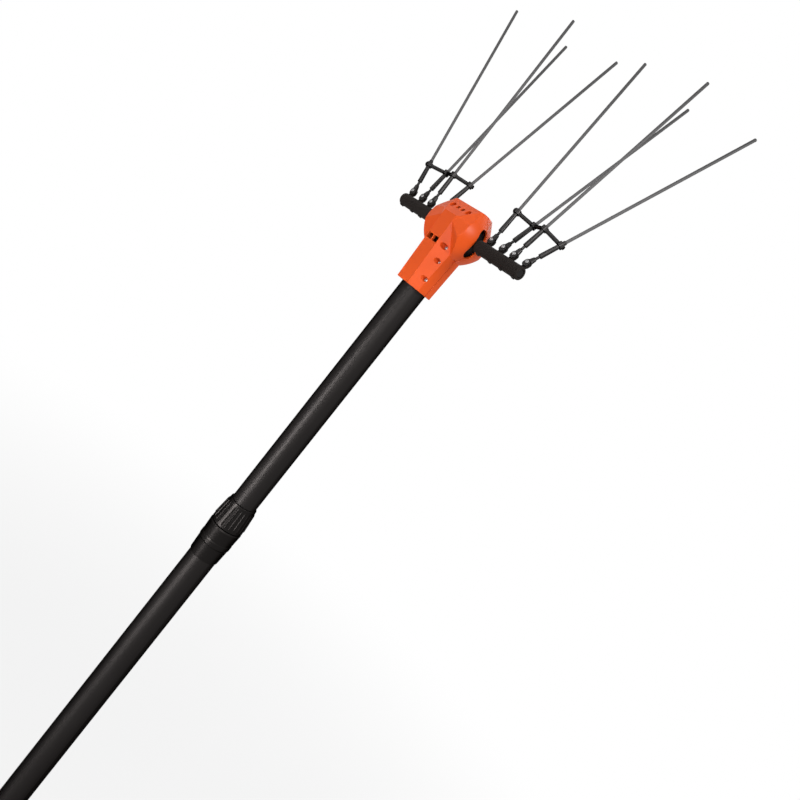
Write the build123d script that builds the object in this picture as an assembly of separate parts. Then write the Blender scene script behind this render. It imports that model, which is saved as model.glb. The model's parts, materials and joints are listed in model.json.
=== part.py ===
from build123d import *
import os
from math import acos, cos, pi, radians, sin, tan

# Electric olive harvester: a telescopic pole with a handle and a switch at its lower end, and a
# motor head at its upper end that swings two rakes of carbon rods. Millimetres and degrees, +Z up
# the pole, +X to the right rake, -Y to the front. The origin is the middle of the hand grip.

# Pole
OUTER_TUBE_R = 20.0
INNER_TUBE_R = 18.0
TUBE_WALL = 1.5
LOWER_POLE_LENGTH = 900.0
REST_EXTENSION = 357.5
INNER_TUBE_INSERT = 480.0
BUSH_LENGTH = 30.0
BUSH_WALL = 3.5
BUSH_LIP = 4.0
SLIDE_CLEARANCE = 0.1
SEAT_CLEARANCE = 0.05

# Twist collar between the tubes
NUT_LENGTH = 37.4
NUT_TOP_R = 19.8
NUT_BASE_R = 23.4
NUT_TOP_RIM = 5.0
NUT_BASE_RIM = 4.0
NUT_BORE_CLEARANCE = 0.4
NUT_RIBS = 24
NUT_RIB_WIDTH = 1.1
NUT_RIB_HEIGHT = 0.45
NUT_RIB_SINK = 1.0
NUT_BASE_EDGE = 0.6
NUT_COLLAR_GAP = 1.0
SPIGOT_LENGTH = 16.0
SPIGOT_WALL = 1.2
SPIGOT_CLEARANCE = 0.3
CLAMP_RING_LENGTH = 6.0
CLAMP_RING_WALL = 1.2
CLAMP_RING_SLIT = 2.5
COLLAR_LENGTH = 51.0
COLLAR_TOP_R = 23.7
COLLAR_WAIST_R = 22.4
COLLAR_FOOT_R = 21.2
COLLAR_BAND_HEIGHT = 9.0
COLLAR_BAND_START = 20.0
COLLAR_BAND_RISE = 0.7
COLLAR_BAND_EDGE = 1.5
COLLAR_LIP = 2.0
COLLAR_LIP_EDGE = 0.8

# Handle
GRIP_LENGTH = 150.0
GRIP_R = 23.0
GRIP_EDGE = 2.0
END_CAP_FLANGE = 8.0
END_CAP_PLUG = 25.0
GLAND_BORE_R = 3.75
GLAND_R = 7.0
GLAND_LIP_R = 9.0
GLAND_LIP = 2.5

# Switch housing on the pole, above the grip
HOUSING_GAP = 14.0
HOUSING_LENGTH = 96.0
HOUSING_R = 25.0
HOUSING_HALF_WIDTH = 16.0
HOUSING_FRONT = 43.0
HOUSING_NOSE_SLOPE = 16.0
HOUSING_EDGE = 3.0
HOUSING_WALL = 2.6
HOUSING_SCREW_X = 23.6
HOUSING_EAR_R = 5.0
HOUSING_EAR_HALF = 9.0
WIRE_HOLE_R = 4.0
HOUSING_SCREW_END = 10.0
HOUSING_SCREW_GRIP = 7.0
SWITCH_WIDTH = 15.0
SWITCH_HEIGHT = 26.0
SWITCH_DEPTH = 15.0
SWITCH_BEZEL = 1.5
SWITCH_BEZEL_LIP = 1.4
SWITCH_WALL = 1.2
ROCKER_PIVOT_DEPTH = 2.4
ROCKER_PIN_R = 1.2
ROCKER_HALF_HEIGHT = 10.4
ROCKER_SIDE_GAP = 0.4
ROCKER_END_GAP = 0.8
ROCKER_TRAVEL = 14.0
ROCKER_RISE = 4.2
ROCKER_DIP = 2.6
ROCKER_BACK = 2.6
ROCKER_PIN_COVER = 0.4
ROCKER_FLOOR_GAP = 2.6

# Head outline seen from the front at the parting plane, built up from the neck's lower edge
NECK_HALF_WIDTH = 24.1
WAIST_HALF_WIDTH = 27.6
HEAD_HALF_WIDTH = 40.8
SHOULDER_HALF_WIDTH = 34.6
TOP_HALF_WIDTH = 26.4
WAIST_HEIGHT = 55.5
WAIST_TO_BAR = 31.2
BAR_TO_TOP = 35.8
SHOULDER_DROP = 13.8
SOCKET_DROP = 8.5
SIDE_BULGE_R = 62.0
HEAD_WALL = 2.8

# Head facets: front strip and top bevel, spear facets beside the strip, hollow cheeks and brows
RIDGE_X = 11.2
NECK_FRONT = 26.0
HEAD_FRONT = 31.4
BEVEL_DROP = 24.0
TOP_FRONT = 12.3
HEAD_REAR = 25.7
NECK_CORNER = 12.4
SPEAR_APEX_RISE = 4.6
CHEEK_X = 34.0
CHEEK_Y = 28.5
CHEEK_DROP = 9.6
BROW_X = 32.6
BROW_Y = 26.0
BROW_RISE = 10.3
CREST_X = 18.0
CREST_RISE = 14.4
PARTING_GROOVE = 0.8
PARTING_DEPTH = 0.9

# Head openings and screws
SLOT_WIDTH = 14.0
SLOT_HEIGHT = 41.0
VENT_X = 5.7
VENT_WIDTH = 9.0
VENT_TALL = 7.2
VENT_RISE = 6.7
TOP_VENT_X = 4.5
TOP_VENT_WIDTH = 5.0
TOP_VENT_TALL = 4.2
TOP_SCREW_X = 15.0
TOP_SCREW_DROP = 12.6
MIDDLE_SCREW_X = 18.0
MIDDLE_SCREW_RISE = 6.0
NECK_SCREW_X = 20.6
UPPER_NECK_SCREW_DROP = 4.0
LOWER_NECK_SCREW_RISE = 16.5
PRY_SLOT_LENGTH = 6.0
PRY_SLOT_WIDTH = 2.2
PRY_SLOT_DEPTH = 1.4
SCREW_SEAT = 15.0
NECK_SCREW_SEAT = 11.5
SCREW_R = 1.5
SCREW_HEAD_R = 2.6
SCREW_HEAD = 2.0
SCREW_GRIP = 7.4
SCREW_CLEARANCE = 0.2
SCREW_END_GAP = 1.0
COUNTERBORE_R = 3.7
NECK_COUNTERBORE_R = 3.2
COUNTERBORE_WALL = 1.4
COUNTERBORE_FLOOR = 2.0
SCREW_BOSS_R = 4.4
CROSS_SLOT_WIDTH = 0.8
CROSS_SLOT_DEPTH = 0.9

# Motor in the top of the inner tube
MOTOR_R = 16.2
MOTOR_LENGTH = 67.0
MOTOR_WALL = 1.5
MOTOR_FRONT_WALL = 2.5
MAGNET_LENGTH = 50.0
MAGNET_INNER_R = 11.3
MAGNET_ARC = 120.0
ARMATURE_R = 10.7
ARMATURE_LENGTH = 42.0
ARMATURE_SLOTS = 5
ARMATURE_SLOT_WIDTH = 2.0
ARMATURE_SLOT_DEPTH = 6.0
COMMUTATOR_R = 5.0
COMMUTATOR_LENGTH = 6.0
MOTOR_SHAFT_R = 1.6
MOTOR_CAP = 5.0
SHAFT_END_GAP = 0.3
RUNNING_FIT = 0.05

# Gear plate, gears and crank
PLATE_THICKNESS = 4.0
PLATE_R = 24.4
PLATE_SCREW_X = 17.9
PLATE_SCREW_Y = 10.2
GEAR_MODULE = 0.8
PINION_TEETH = 10
CRANK_TEETH = 26
GEAR_WIDTH = 6.0
GEAR_LIFT = 1.0
GEAR_BACKLASH = 0.16
CRANK_SHAFT_R = 3.0
CRANK_SHAFT_LIFT = 0.2
BEARING_R = 6.5
CRANK_PIN_R = 2.0
CRANK_PIN_RISE = 11.0
CRANK_PIN_FLOOR = 1.0
ROLLER_R = 3.0
ROLLER_LENGTH = 9.0
ROLLER_LIFT = 1.5
GEAR_PRESSURE = 25.0
TOOTH_TIP_MODULES = 0.8
TOOTH_ROOT_MODULES = 1.05

# Rockers that carry the rake bars
PIVOT_X = 14.0
PIVOT_PIN_R = 3.0
PIVOT_BUSH_WALL = 1.4
PIVOT_BUSH_LENGTH = 6.0
PIVOT_BOSS_R = 5.0
PIVOT_BOSS_GAP = 0.3
PIVOT_PIN_SEAT = 9.0
HUB_R = 9.0
HUB_HALF = 7.0
SECTOR_TEETH = 14
SECTOR_HALF_WIDTH = 6.0
SECTOR_REACH = 44.0
SECTOR_BACKLASH = 0.4
LEVER_THICKNESS = 3.5
FORK_CLEARANCE = 2.3
FORK_PRONG = 3.0
FORK_GEAR_GAP = 1.0
FORK_BRIDGE_GAP = 1.2
FORK_BRIDGE = 4.5
FORK_END_GAP = 0.5
STUB_R = 4.5
STUB_END_X = 70.0
SHIELD_R = 22.0
SHIELD_THICKNESS = 1.5
SHIELD_ARC = 62.0
SHIELD_FRONT = 12.0
SHIELD_REAR = 9.5
RAKE_SWING = 8.0

# Rake bars
BAR_R = 8.4
BAR_START_X = 43.5
BAR_END_X = 120.6
BAR_EDGE = 1.6
BAR_PLUG_R = 5.2
BAR_PLUG_LENGTH = 7.0
BAR_PLUG_RECESS = 0.5
BAR_PLUG_EDGE = 0.6
BAR_NUB_R = 3.0
BAR_NUB = 0.8
TINE_X_1 = 51.2
TINE_X_2 = 73.5
TINE_X_3 = 93.2
TINE_X_4 = 116.0
TINE_FAN_1 = -5.1
TINE_FAN_2 = 2.1
TINE_FAN_3 = 5.1
TINE_FAN_4 = 14.1
TINE_ZIGZAG = 4.9
RIGHT_BAR_ROLL = 13.8
LEFT_BAR_ROLL = 6.7
TINE_PIVOT = 15.4
LUG_HALF = 1.5
LUG_R = 3.1
KNUCKLE_R = 4.0
KNUCKLE_HALF = 3.3
KNUCKLE_DROP = 2.2
KNUCKLE_GAP = 0.3
KNUCKLE_SCREW_R = 1.5
KNUCKLE_HEAD_R = 2.4
KNUCKLE_HEAD = 0.9
KNUCKLE_HEAD_GAP = 0.1

# Tine holders, rods and cross-links, distances along the tine from its pivot
COLLAR_CONE_START = 3.0
COLLAR_CONE_END = 9.5
COLLAR_CONE_R = 3.7
COLLAR_CONE_TIP_R = 2.7
NECK_R = 1.75
NECK_STEP = 1.0
NECK_FLARE = 0.6
SLEEVE_START = 15.6
SLEEVE_END = 49.0
SLEEVE_BASE_R = 3.2
SLEEVE_TIP_R = 2.7
ROD_START = 21.0
ROD_END = 292.0
ROD_R = 2.0
ROD_SEAT = 0.02
ROD_END_GAP = 0.1
ROD_TIP_EDGE = 0.9
LINK_PLACE_1 = 47.0
LINK_PLACE_2 = 45.5
LINK_PLACE_3 = 45.5
LINK_PLACE_4 = 42.5
LINK_EYE_R = 4.6
LINK_EYE_BORE_R = 3.4
LINK_EYE_HEIGHT = 5.6
LINK_BAR_R = 2.5
LINK_NUB = 5.2

# Places worked out from the sizes above
HANDLE_END_Z = -GRIP_LENGTH / 2
NUT_TOP_Z = HANDLE_END_Z + LOWER_POLE_LENGTH
COLLAR_TOP_Z = NUT_TOP_Z - NUT_LENGTH - NUT_COLLAR_GAP
NECK_Z = NUT_TOP_Z + REST_EXTENSION
BAR_HEIGHT = WAIST_HEIGHT + WAIST_TO_BAR
BAR_Z = NECK_Z + BAR_HEIGHT
HEAD_HEIGHT = BAR_HEIGHT + BAR_TO_TOP
FRONT_END_HEIGHT = HEAD_HEIGHT - BEVEL_DROP
TOP_SCREW_HEIGHT = HEAD_HEIGHT - TOP_SCREW_DROP
REAR_SHARE = HEAD_REAR / HEAD_FRONT
SOCKET_DEPTH = WAIST_HEIGHT - SOCKET_DROP
PLATE_Z = NECK_Z + SOCKET_DEPTH
GEAR_Z = PLATE_Z + PLATE_THICKNESS + GEAR_LIFT
GEAR_SPACING = GEAR_MODULE * (PINION_TEETH + CRANK_TEETH) / 2
SECTOR_MODULE = 2 * PIVOT_X / SECTOR_TEETH
HUB_FRONT = HUB_HALF + LEVER_THICKNESS
GEAR_TOP_Z = GEAR_Z + GEAR_WIDTH
ROLLER_Z = GEAR_TOP_Z + ROLLER_LIFT
FORK_DIP = (PIVOT_X + ROLLER_R + FORK_CLEARANCE + FORK_PRONG) * sin(radians(RAKE_SWING))
CRANK_THROW = (BAR_Z - ROLLER_Z - ROLLER_LENGTH / 2) * sin(radians(RAKE_SWING))
SCREW_PLACES = (
    (TOP_SCREW_X, TOP_SCREW_HEIGHT, SCREW_SEAT, COUNTERBORE_R),
    (MIDDLE_SCREW_X, WAIST_HEIGHT + MIDDLE_SCREW_RISE, SCREW_SEAT, COUNTERBORE_R),
    (NECK_SCREW_X, SOCKET_DEPTH - UPPER_NECK_SCREW_DROP, NECK_SCREW_SEAT, NECK_COUNTERBORE_R),
    (NECK_SCREW_X, LOWER_NECK_SCREW_RISE, NECK_SCREW_SEAT, NECK_COUNTERBORE_R),
)
TINE_PLACES = (TINE_X_1, TINE_X_2, TINE_X_3, TINE_X_4)
LINK_PLACES = (LINK_PLACE_1, LINK_PLACE_2, LINK_PLACE_3, LINK_PLACE_4)
TINE_FAN = (TINE_FAN_1, TINE_FAN_2, TINE_FAN_3, TINE_FAN_4)
REACH = 4 * HEAD_HEIGHT
CENTRED = (Align.CENTER, Align.CENTER, Align.CENTER)
STANDING = (Align.CENTER, Align.CENTER, Align.MIN)

parts = {}


def rod(start, end, radius):
    """A round bar of the given radius from one point to another."""
    span = Vector(end) - Vector(start)
    return Plane(origin=start, z_dir=span) * Cylinder(radius, span.length, align=STANDING)


def ring(start, end, radius, bore):
    """A round bar with a bore right through it."""
    return rod(start, end, radius) - rod(start, end, bore)


def block(low, high):
    """A box between two opposite corners."""
    size = [b - a for a, b in zip(low, high)]
    return Pos(*low) * Box(*size, align=(Align.MIN, Align.MIN, Align.MIN))


def turned(points, z):
    """A solid of revolution about the pole's axis, from (radius, height above z) corners."""
    face = make_face(Polyline(*points, close=True))
    return revolve(Plane.XZ * face, Axis.Z).moved(Pos(0, 0, z))


def half_space(point, normal):
    """A very large block that fills the side of a plane that its normal points to."""
    return Plane(origin=point, z_dir=normal) * Box(REACH, REACH, REACH, align=STANDING)


def gear_face(teeth, module, backlash, turn):
    """The outline of a spur gear, with one tooth at the given angle."""
    pressure = radians(GEAR_PRESSURE)
    pitch_r = teeth * module / 2
    base_r = pitch_r * cos(pressure)
    tip_r = pitch_r + TOOTH_TIP_MODULES * module
    root_r = pitch_r - TOOTH_ROOT_MODULES * module
    half_tooth = (pi * module / 2 - backlash) / (2 * pitch_r)

    def flank(radius):
        angle = acos(min(1.0, base_r / radius))
        return half_tooth + (tan(pressure) - pressure) - (tan(angle) - angle)

    radii = (root_r, max(base_r, root_r + 0.1 * module), pitch_r, tip_r)
    points = []
    for tooth in range(teeth):
        middle = radians(turn) + 2 * pi * tooth / teeth
        flanks = [(r, middle - flank(r)) for r in radii]
        flanks += [(r, middle + flank(r)) for r in reversed(radii)]
        points += [(r * cos(a), r * sin(a)) for r, a in flanks]
    return make_face(Polyline(*points, close=True))


# Pole

def build_pole():
    """Both tubes and the slide bush on the lower end of the inner one."""
    outer_bore = OUTER_TUBE_R - TUBE_WALL
    parts["outer_tube"] = ring((0, 0, HANDLE_END_Z), (0, 0, COLLAR_TOP_Z), OUTER_TUBE_R, outer_bore)
    inner_low = NUT_TOP_Z - INNER_TUBE_INSERT
    inner_bore = INNER_TUBE_R - TUBE_WALL
    parts["inner_tube"] = ring((0, 0, inner_low), (0, 0, PLATE_Z), INNER_TUBE_R, inner_bore)
    bush_r = outer_bore - SLIDE_CLEARANCE
    plug_r = inner_bore - SEAT_CLEARANCE
    parts["slide_bush"] = turned(
        (
            (plug_r - BUSH_WALL, -BUSH_LIP),
            (bush_r, -BUSH_LIP),
            (bush_r, 0),
            (plug_r, 0),
            (plug_r, BUSH_LENGTH),
            (plug_r - BUSH_WALL, BUSH_LENGTH),
        ),
        inner_low,
    )


def build_collar():
    """Collar body on the outer tube, twist nut over its spigot, and the split clamp ring between them."""
    bore = INNER_TUBE_R + NUT_BORE_CLEARANCE
    spigot_r = bore + SPIGOT_WALL
    seat = OUTER_TUBE_R + SEAT_CLEARANCE
    band_top = -COLLAR_BAND_START
    band_low = band_top - COLLAR_BAND_HEIGHT
    body = turned(
        (
            (seat, -COLLAR_LENGTH),
            (COLLAR_FOOT_R, -COLLAR_LENGTH),
            (COLLAR_WAIST_R, band_low),
            (COLLAR_WAIST_R + COLLAR_BAND_RISE, band_low + COLLAR_BAND_EDGE),
            (COLLAR_WAIST_R + COLLAR_BAND_RISE, band_top - COLLAR_BAND_EDGE),
            (COLLAR_WAIST_R + COLLAR_BAND_RISE / 2, band_top),
            (COLLAR_TOP_R, -COLLAR_LIP),
            (COLLAR_TOP_R - COLLAR_LIP_EDGE, 0),
            (spigot_r, 0),
            (spigot_r, SPIGOT_LENGTH),
            (bore, SPIGOT_LENGTH),
            (bore, 0),
            (seat, 0),
        ),
        COLLAR_TOP_Z,
    )
    parts["collar_body"] = body

    nut_bore = spigot_r + SPIGOT_CLEARANCE
    ring_low = COLLAR_TOP_Z + SPIGOT_LENGTH + SPIGOT_CLEARANCE
    ring_bore = INNER_TUBE_R + SLIDE_CLEARANCE
    ring_top = ring_low + CLAMP_RING_LENGTH
    clamp = ring((0, 0, ring_low), (0, 0, ring_top), ring_bore + CLAMP_RING_WALL, ring_bore)
    slit = block((0, -CLAMP_RING_SLIT / 2, ring_low), (NUT_BASE_R, CLAMP_RING_SLIT / 2, NUT_TOP_Z))
    parts["clamp_ring"] = clamp - slit

    cone_low = ring_top + SPIGOT_CLEARANCE - (NUT_TOP_Z - NUT_LENGTH)
    nut = turned(
        (
            (nut_bore, 0),
            (NUT_BASE_R - NUT_BASE_EDGE, 0),
            (NUT_BASE_R, NUT_BASE_EDGE),
            (NUT_TOP_R, NUT_LENGTH),
            (bore, NUT_LENGTH),
            (bore, cone_low),
            (nut_bore, cone_low),
        ),
        NUT_TOP_Z - NUT_LENGTH,
    )
    slope = (NUT_BASE_R - NUT_TOP_R) / NUT_LENGTH
    rib_low = NUT_BASE_RIM
    rib_high = NUT_LENGTH - NUT_TOP_RIM
    rib_face = make_face(
        Polyline(
            (NUT_BASE_R - slope * rib_low - NUT_RIB_SINK, rib_low),
            (NUT_BASE_R - slope * rib_low + NUT_RIB_HEIGHT, rib_low + NUT_RIB_SINK),
            (NUT_BASE_R - slope * rib_high + NUT_RIB_HEIGHT, rib_high - NUT_RIB_SINK),
            (NUT_BASE_R - slope * rib_high - NUT_RIB_SINK, rib_high),
            close=True,
        )
    )
    rib = extrude(Plane.XZ * rib_face, NUT_RIB_WIDTH / 2, both=True).moved(Pos(0, 0, NUT_TOP_Z - NUT_LENGTH))
    ribs = [Rot(0, 0, 360 * n / NUT_RIBS) * rib for n in range(NUT_RIBS)]
    parts["twist_nut"] = nut + ribs


def build_handle():
    """Grip sleeve, end cap in the open tube end, and the gland that a cord would come out of."""
    seat = OUTER_TUBE_R + SEAT_CLEARANCE
    grip = ring((0, 0, HANDLE_END_Z), (0, 0, -HANDLE_END_Z), GRIP_R, seat)
    top_edges = grip.edges().filter_by(GeomType.CIRCLE).group_by(Axis.Z)[-1].sort_by(SortBy.RADIUS)
    parts["grip_sleeve"] = fillet(top_edges[-1], GRIP_EDGE)

    plug_r = OUTER_TUBE_R - TUBE_WALL - SEAT_CLEARANCE
    cap_low = HANDLE_END_Z - END_CAP_FLANGE
    cap = rod((0, 0, cap_low), (0, 0, HANDLE_END_Z), GRIP_R)
    cap = chamfer(cap.edges().group_by(Axis.Z)[0], GRIP_EDGE)
    cap += rod((0, 0, HANDLE_END_Z), (0, 0, HANDLE_END_Z + END_CAP_PLUG), plug_r)
    cap -= rod((0, 0, cap_low), (0, 0, HANDLE_END_Z + END_CAP_PLUG), GLAND_R + SEAT_CLEARANCE)
    cap -= rod((0, 0, HANDLE_END_Z), (0, 0, HANDLE_END_Z + END_CAP_PLUG), GLAND_LIP_R + SEAT_CLEARANCE)
    parts["end_cap"] = cap

    gland = rod((0, 0, cap_low - GLAND_LIP), (0, 0, HANDLE_END_Z + GLAND_LIP), GLAND_R)
    gland += rod((0, 0, cap_low - GLAND_LIP), (0, 0, cap_low), GLAND_LIP_R)
    gland += rod((0, 0, HANDLE_END_Z), (0, 0, HANDLE_END_Z + GLAND_LIP), GLAND_LIP_R)
    gland -= rod((0, 0, cap_low - GLAND_LIP), (0, 0, HANDLE_END_Z + GLAND_LIP), GLAND_BORE_R)
    parts["cord_gland"] = gland


def build_switch():
    """Two-part housing clamped on the outer tube, with a rocker switch in its front."""
    low = -HANDLE_END_Z + HOUSING_GAP
    high = low + HOUSING_LENGTH
    middle = (low + high) / 2
    seat = OUTER_TUBE_R + SEAT_CLEARANCE
    profile = Polyline(
        (0, low),
        (-HOUSING_R, low),
        (-HOUSING_FRONT, low + HOUSING_NOSE_SLOPE),
        (-HOUSING_FRONT, high - HOUSING_NOSE_SLOPE),
        (-HOUSING_R, high),
        (0, high),
        close=True,
    )
    nose = extrude(Plane.YZ * make_face(profile), HOUSING_HALF_WIDTH, both=True)
    nose = fillet(nose.edges().filter_by(lambda e: e.center().Y < -HOUSING_R + 1), HOUSING_EDGE)
    sleeve = rod((0, 0, low), (0, 0, high), HOUSING_R)
    sleeve = chamfer(sleeve.edges().filter_by(GeomType.CIRCLE), HOUSING_EDGE / 2)
    screw_heights = (low + HOUSING_SCREW_END, high - HOUSING_SCREW_END)
    ears = [
        rod((x, -HOUSING_EAR_HALF, z), (x, HOUSING_EAR_HALF, z), HOUSING_EAR_R)
        for x in (-HOUSING_SCREW_X, HOUSING_SCREW_X)
        for z in screw_heights
    ]
    whole = sleeve + nose + ears - rod((0, 0, low), (0, 0, high), seat)
    front = whole & half_space((0, 0, middle), (0, -1, 0))
    rear = whole & half_space((0, 0, middle), (0, 1, 0))

    bezel_y = -HOUSING_FRONT
    half_w = SWITCH_WIDTH / 2
    half_h = SWITCH_HEIGHT / 2
    front -= block((-half_w - SEAT_CLEARANCE, bezel_y, middle - half_h - SEAT_CLEARANCE),
                   (half_w + SEAT_CLEARANCE, -OUTER_TUBE_R, middle + half_h + SEAT_CLEARANCE))
    room_w = HOUSING_HALF_WIDTH - HOUSING_WALL
    front -= block((-room_w, bezel_y + HOUSING_WALL, low + HOUSING_NOSE_SLOPE),
                   (room_w, -OUTER_TUBE_R / 2, high - HOUSING_NOSE_SLOPE))
    wire_z = high - HOUSING_NOSE_SLOPE - 2 * WIRE_HOLE_R
    parts["outer_tube"] -= rod((0, -OUTER_TUBE_R - 1, wire_z), (0, 0, wire_z), WIRE_HOLE_R)
    screws = []
    for side in (-1, 1):
        for z in screw_heights:
            x = side * HOUSING_SCREW_X
            face = HOUSING_EAR_HALF
            front -= rod((x, -face, z), (x, 0, z), SCREW_R + SCREW_CLEARANCE)
            front -= rod((x, -HOUSING_FRONT, z), (x, -face, z), NECK_COUNTERBORE_R)
            rear -= rod((x, 0, z), (x, HOUSING_SCREW_GRIP + SCREW_END_GAP, z), SCREW_R + SEAT_CLEARANCE)
            screws.append(cross_screw((x, -face, z), face + HOUSING_SCREW_GRIP))
    parts["switch_housing_front"] = front
    parts["switch_housing_rear"] = rear
    parts["switch_housing_screws"] = Compound(screws)

    lip = SWITCH_BEZEL_LIP
    body = block((-half_w, bezel_y, middle - half_h), (half_w, bezel_y + SWITCH_DEPTH, middle + half_h))
    body += block((-half_w - lip, bezel_y - SWITCH_BEZEL, middle - half_h - lip),
                  (half_w + lip, bezel_y, middle + half_h + lip))
    well_w = half_w - SWITCH_WALL
    well_h = ROCKER_HALF_HEIGHT + ROCKER_END_GAP
    pivot_y = bezel_y - SWITCH_BEZEL + ROCKER_PIVOT_DEPTH
    body -= block((-well_w, bezel_y - SWITCH_BEZEL, middle - well_h),
                  (well_w, pivot_y + ROCKER_BACK + ROCKER_FLOOR_GAP, middle + well_h))
    pin_half = half_w - ROCKER_PIN_COVER
    body -= rod((-pin_half, pivot_y, middle), (pin_half, pivot_y, middle), ROCKER_PIN_R + RUNNING_FIT)
    parts["switch_body"] = body

    paddle = Polyline(
        (-ROCKER_RISE, -ROCKER_HALF_HEIGHT),
        (-ROCKER_DIP, 0),
        (-ROCKER_RISE, ROCKER_HALF_HEIGHT),
        (0, ROCKER_HALF_HEIGHT),
        (ROCKER_BACK, ROCKER_HALF_HEIGHT / 2),
        (ROCKER_BACK, -ROCKER_HALF_HEIGHT / 2),
        (0, -ROCKER_HALF_HEIGHT),
        close=True,
    )
    rocker = extrude(Plane.YZ * make_face(paddle), well_w - ROCKER_SIDE_GAP, both=True)
    pin_end = pin_half - ROCKER_SIDE_GAP
    rocker += rod((-pin_end, 0, 0), (pin_end, 0, 0), ROCKER_PIN_R)
    parts["switch_rocker"] = Pos(0, pivot_y, middle) * Rot(ROCKER_TRAVEL / 2, 0, 0) * rocker


def cross_screw(seat, length):
    """A pan-head screw with a cross slot, head to the front, its head resting on the seat point."""
    x, y, z = seat
    head = rod((x, y, z), (x, y - SCREW_HEAD, z), SCREW_HEAD_R)
    head = chamfer(head.edges().group_by(Axis.Y)[0], SCREW_HEAD / 3)
    top = y - SCREW_HEAD
    for wide, tall in ((SCREW_HEAD_R, CROSS_SLOT_WIDTH), (CROSS_SLOT_WIDTH, SCREW_HEAD_R)):
        head -= block((x - wide / 2, top, z - tall / 2), (x + wide / 2, top + CROSS_SLOT_DEPTH, z + tall / 2))
    return head + rod((x, y, z), (x, y + length, z), SCREW_R)


# Head shells

def outward_plane(points, inset):
    """The space outside the plane through three points, the plane first moved in by an inset."""
    first, second, third = points
    normal = (second - first).cross(third - first).normalized()
    if normal.dot(first - Vector(0, 0, BAR_Z)) < 0:
        normal = normal * -1
    return half_space(first - normal * inset, normal)


def head_section(depth, inset):
    """The head's outline at a depth from the parting plane, drawn in by the sides' bulge and an inset."""
    drawn_in = inset + SIDE_BULGE_R - (SIDE_BULGE_R**2 - depth**2) ** 0.5
    waist = (WAIST_HALF_WIDTH, WAIST_HEIGHT)
    shoulder = (SHOULDER_HALF_WIDTH, HEAD_HEIGHT - SHOULDER_DROP)
    slant = (WAIST_HALF_WIDTH - NECK_HALF_WIDTH) / WAIST_HEIGHT
    low = -HEAD_FRONT
    half = Polyline((0, low), (NECK_HALF_WIDTH + slant * low, low), waist)
    half += ThreePointArc(waist, (HEAD_HALF_WIDTH, BAR_HEIGHT), shoulder)
    half += Polyline(shoulder, (TOP_HALF_WIDTH, HEAD_HEIGHT), (0, HEAD_HEIGHT))
    outline = make_face(half + mirror(half, Plane.YZ))
    if drawn_in:
        outline = offset(outline, -drawn_in, kind=Kind.INTERSECTION)
    return (Plane.XZ * outline).moved(Pos(0, depth, NECK_Z))


def head_corner(front, inset):
    """The space that the facets cut off a right-hand corner of the head, scaled for the rear."""

    def corner_point(x, depth, height):
        return Vector(x, front * depth, NECK_Z + height)

    apex_height = BAR_HEIGHT + SPEAR_APEX_RISE
    apex_depth = NECK_FRONT + (HEAD_FRONT - NECK_FRONT) * apex_height / FRONT_END_HEIGHT
    apex = corner_point(RIDGE_X, apex_depth, apex_height)
    ridge_top = corner_point(RIDGE_X, HEAD_FRONT, FRONT_END_HEIGHT)
    ridge_foot = corner_point(RIDGE_X, NECK_FRONT, 0)
    neck_corner = corner_point(NECK_HALF_WIDTH, NECK_CORNER, 0)
    waist_corner = corner_point(WAIST_HALF_WIDTH, NECK_CORNER, WAIST_HEIGHT)
    cheek = corner_point(CHEEK_X, CHEEK_Y, BAR_HEIGHT - CHEEK_DROP)
    brow = corner_point(BROW_X, BROW_Y, BAR_HEIGHT + BROW_RISE)
    top_corner = corner_point(TOP_HALF_WIDTH, TOP_FRONT, HEAD_HEIGHT)
    tilt = (cheek - apex).cross(brow - apex)
    crest = corner_point(CREST_X, 0, BAR_HEIGHT + CREST_RISE)
    crest += Vector(0, tilt.dot(apex - crest) / tilt.Y, 0)
    cheek_facet = outward_plane((apex, cheek, brow), inset)
    crest_facet = outward_plane((apex, ridge_top, crest), inset)
    brow_facet = outward_plane((crest, brow, top_corner), inset)
    spear_facet = outward_plane((ridge_foot, neck_corner, apex), inset)
    under_facet = outward_plane((apex, cheek, waist_corner), inset)
    return (cheek_facet & crest_facet) + brow_facet + (spear_facet & under_facet)


def head_block(inset):
    """The head's faceted outer form, or the same form drawn in by an inset for its hollow."""
    deep = 1.2 * HEAD_FRONT
    form = loft([head_section(depth, inset) for depth in (-deep, -deep / 2, 0, deep / 2, deep)])
    profile = make_face(
        Polyline(
            (-NECK_FRONT, 0),
            (-HEAD_FRONT, FRONT_END_HEIGHT),
            (-TOP_FRONT, HEAD_HEIGHT),
            (TOP_FRONT * REAR_SHARE, HEAD_HEIGHT),
            (HEAD_FRONT * REAR_SHARE, FRONT_END_HEIGHT),
            (NECK_FRONT * REAR_SHARE, 0),
            close=True,
        )
    )
    if inset:
        profile = offset(profile, -inset, kind=Kind.INTERSECTION)
    form &= extrude(Plane.YZ * profile, 2 * HEAD_HALF_WIDTH, both=True).moved(Pos(0, 0, NECK_Z))

    for front in (-1, REAR_SHARE):
        corner = head_corner(front, inset)
        form = form - corner - mirror(corner, Plane.YZ)
    return form


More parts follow.
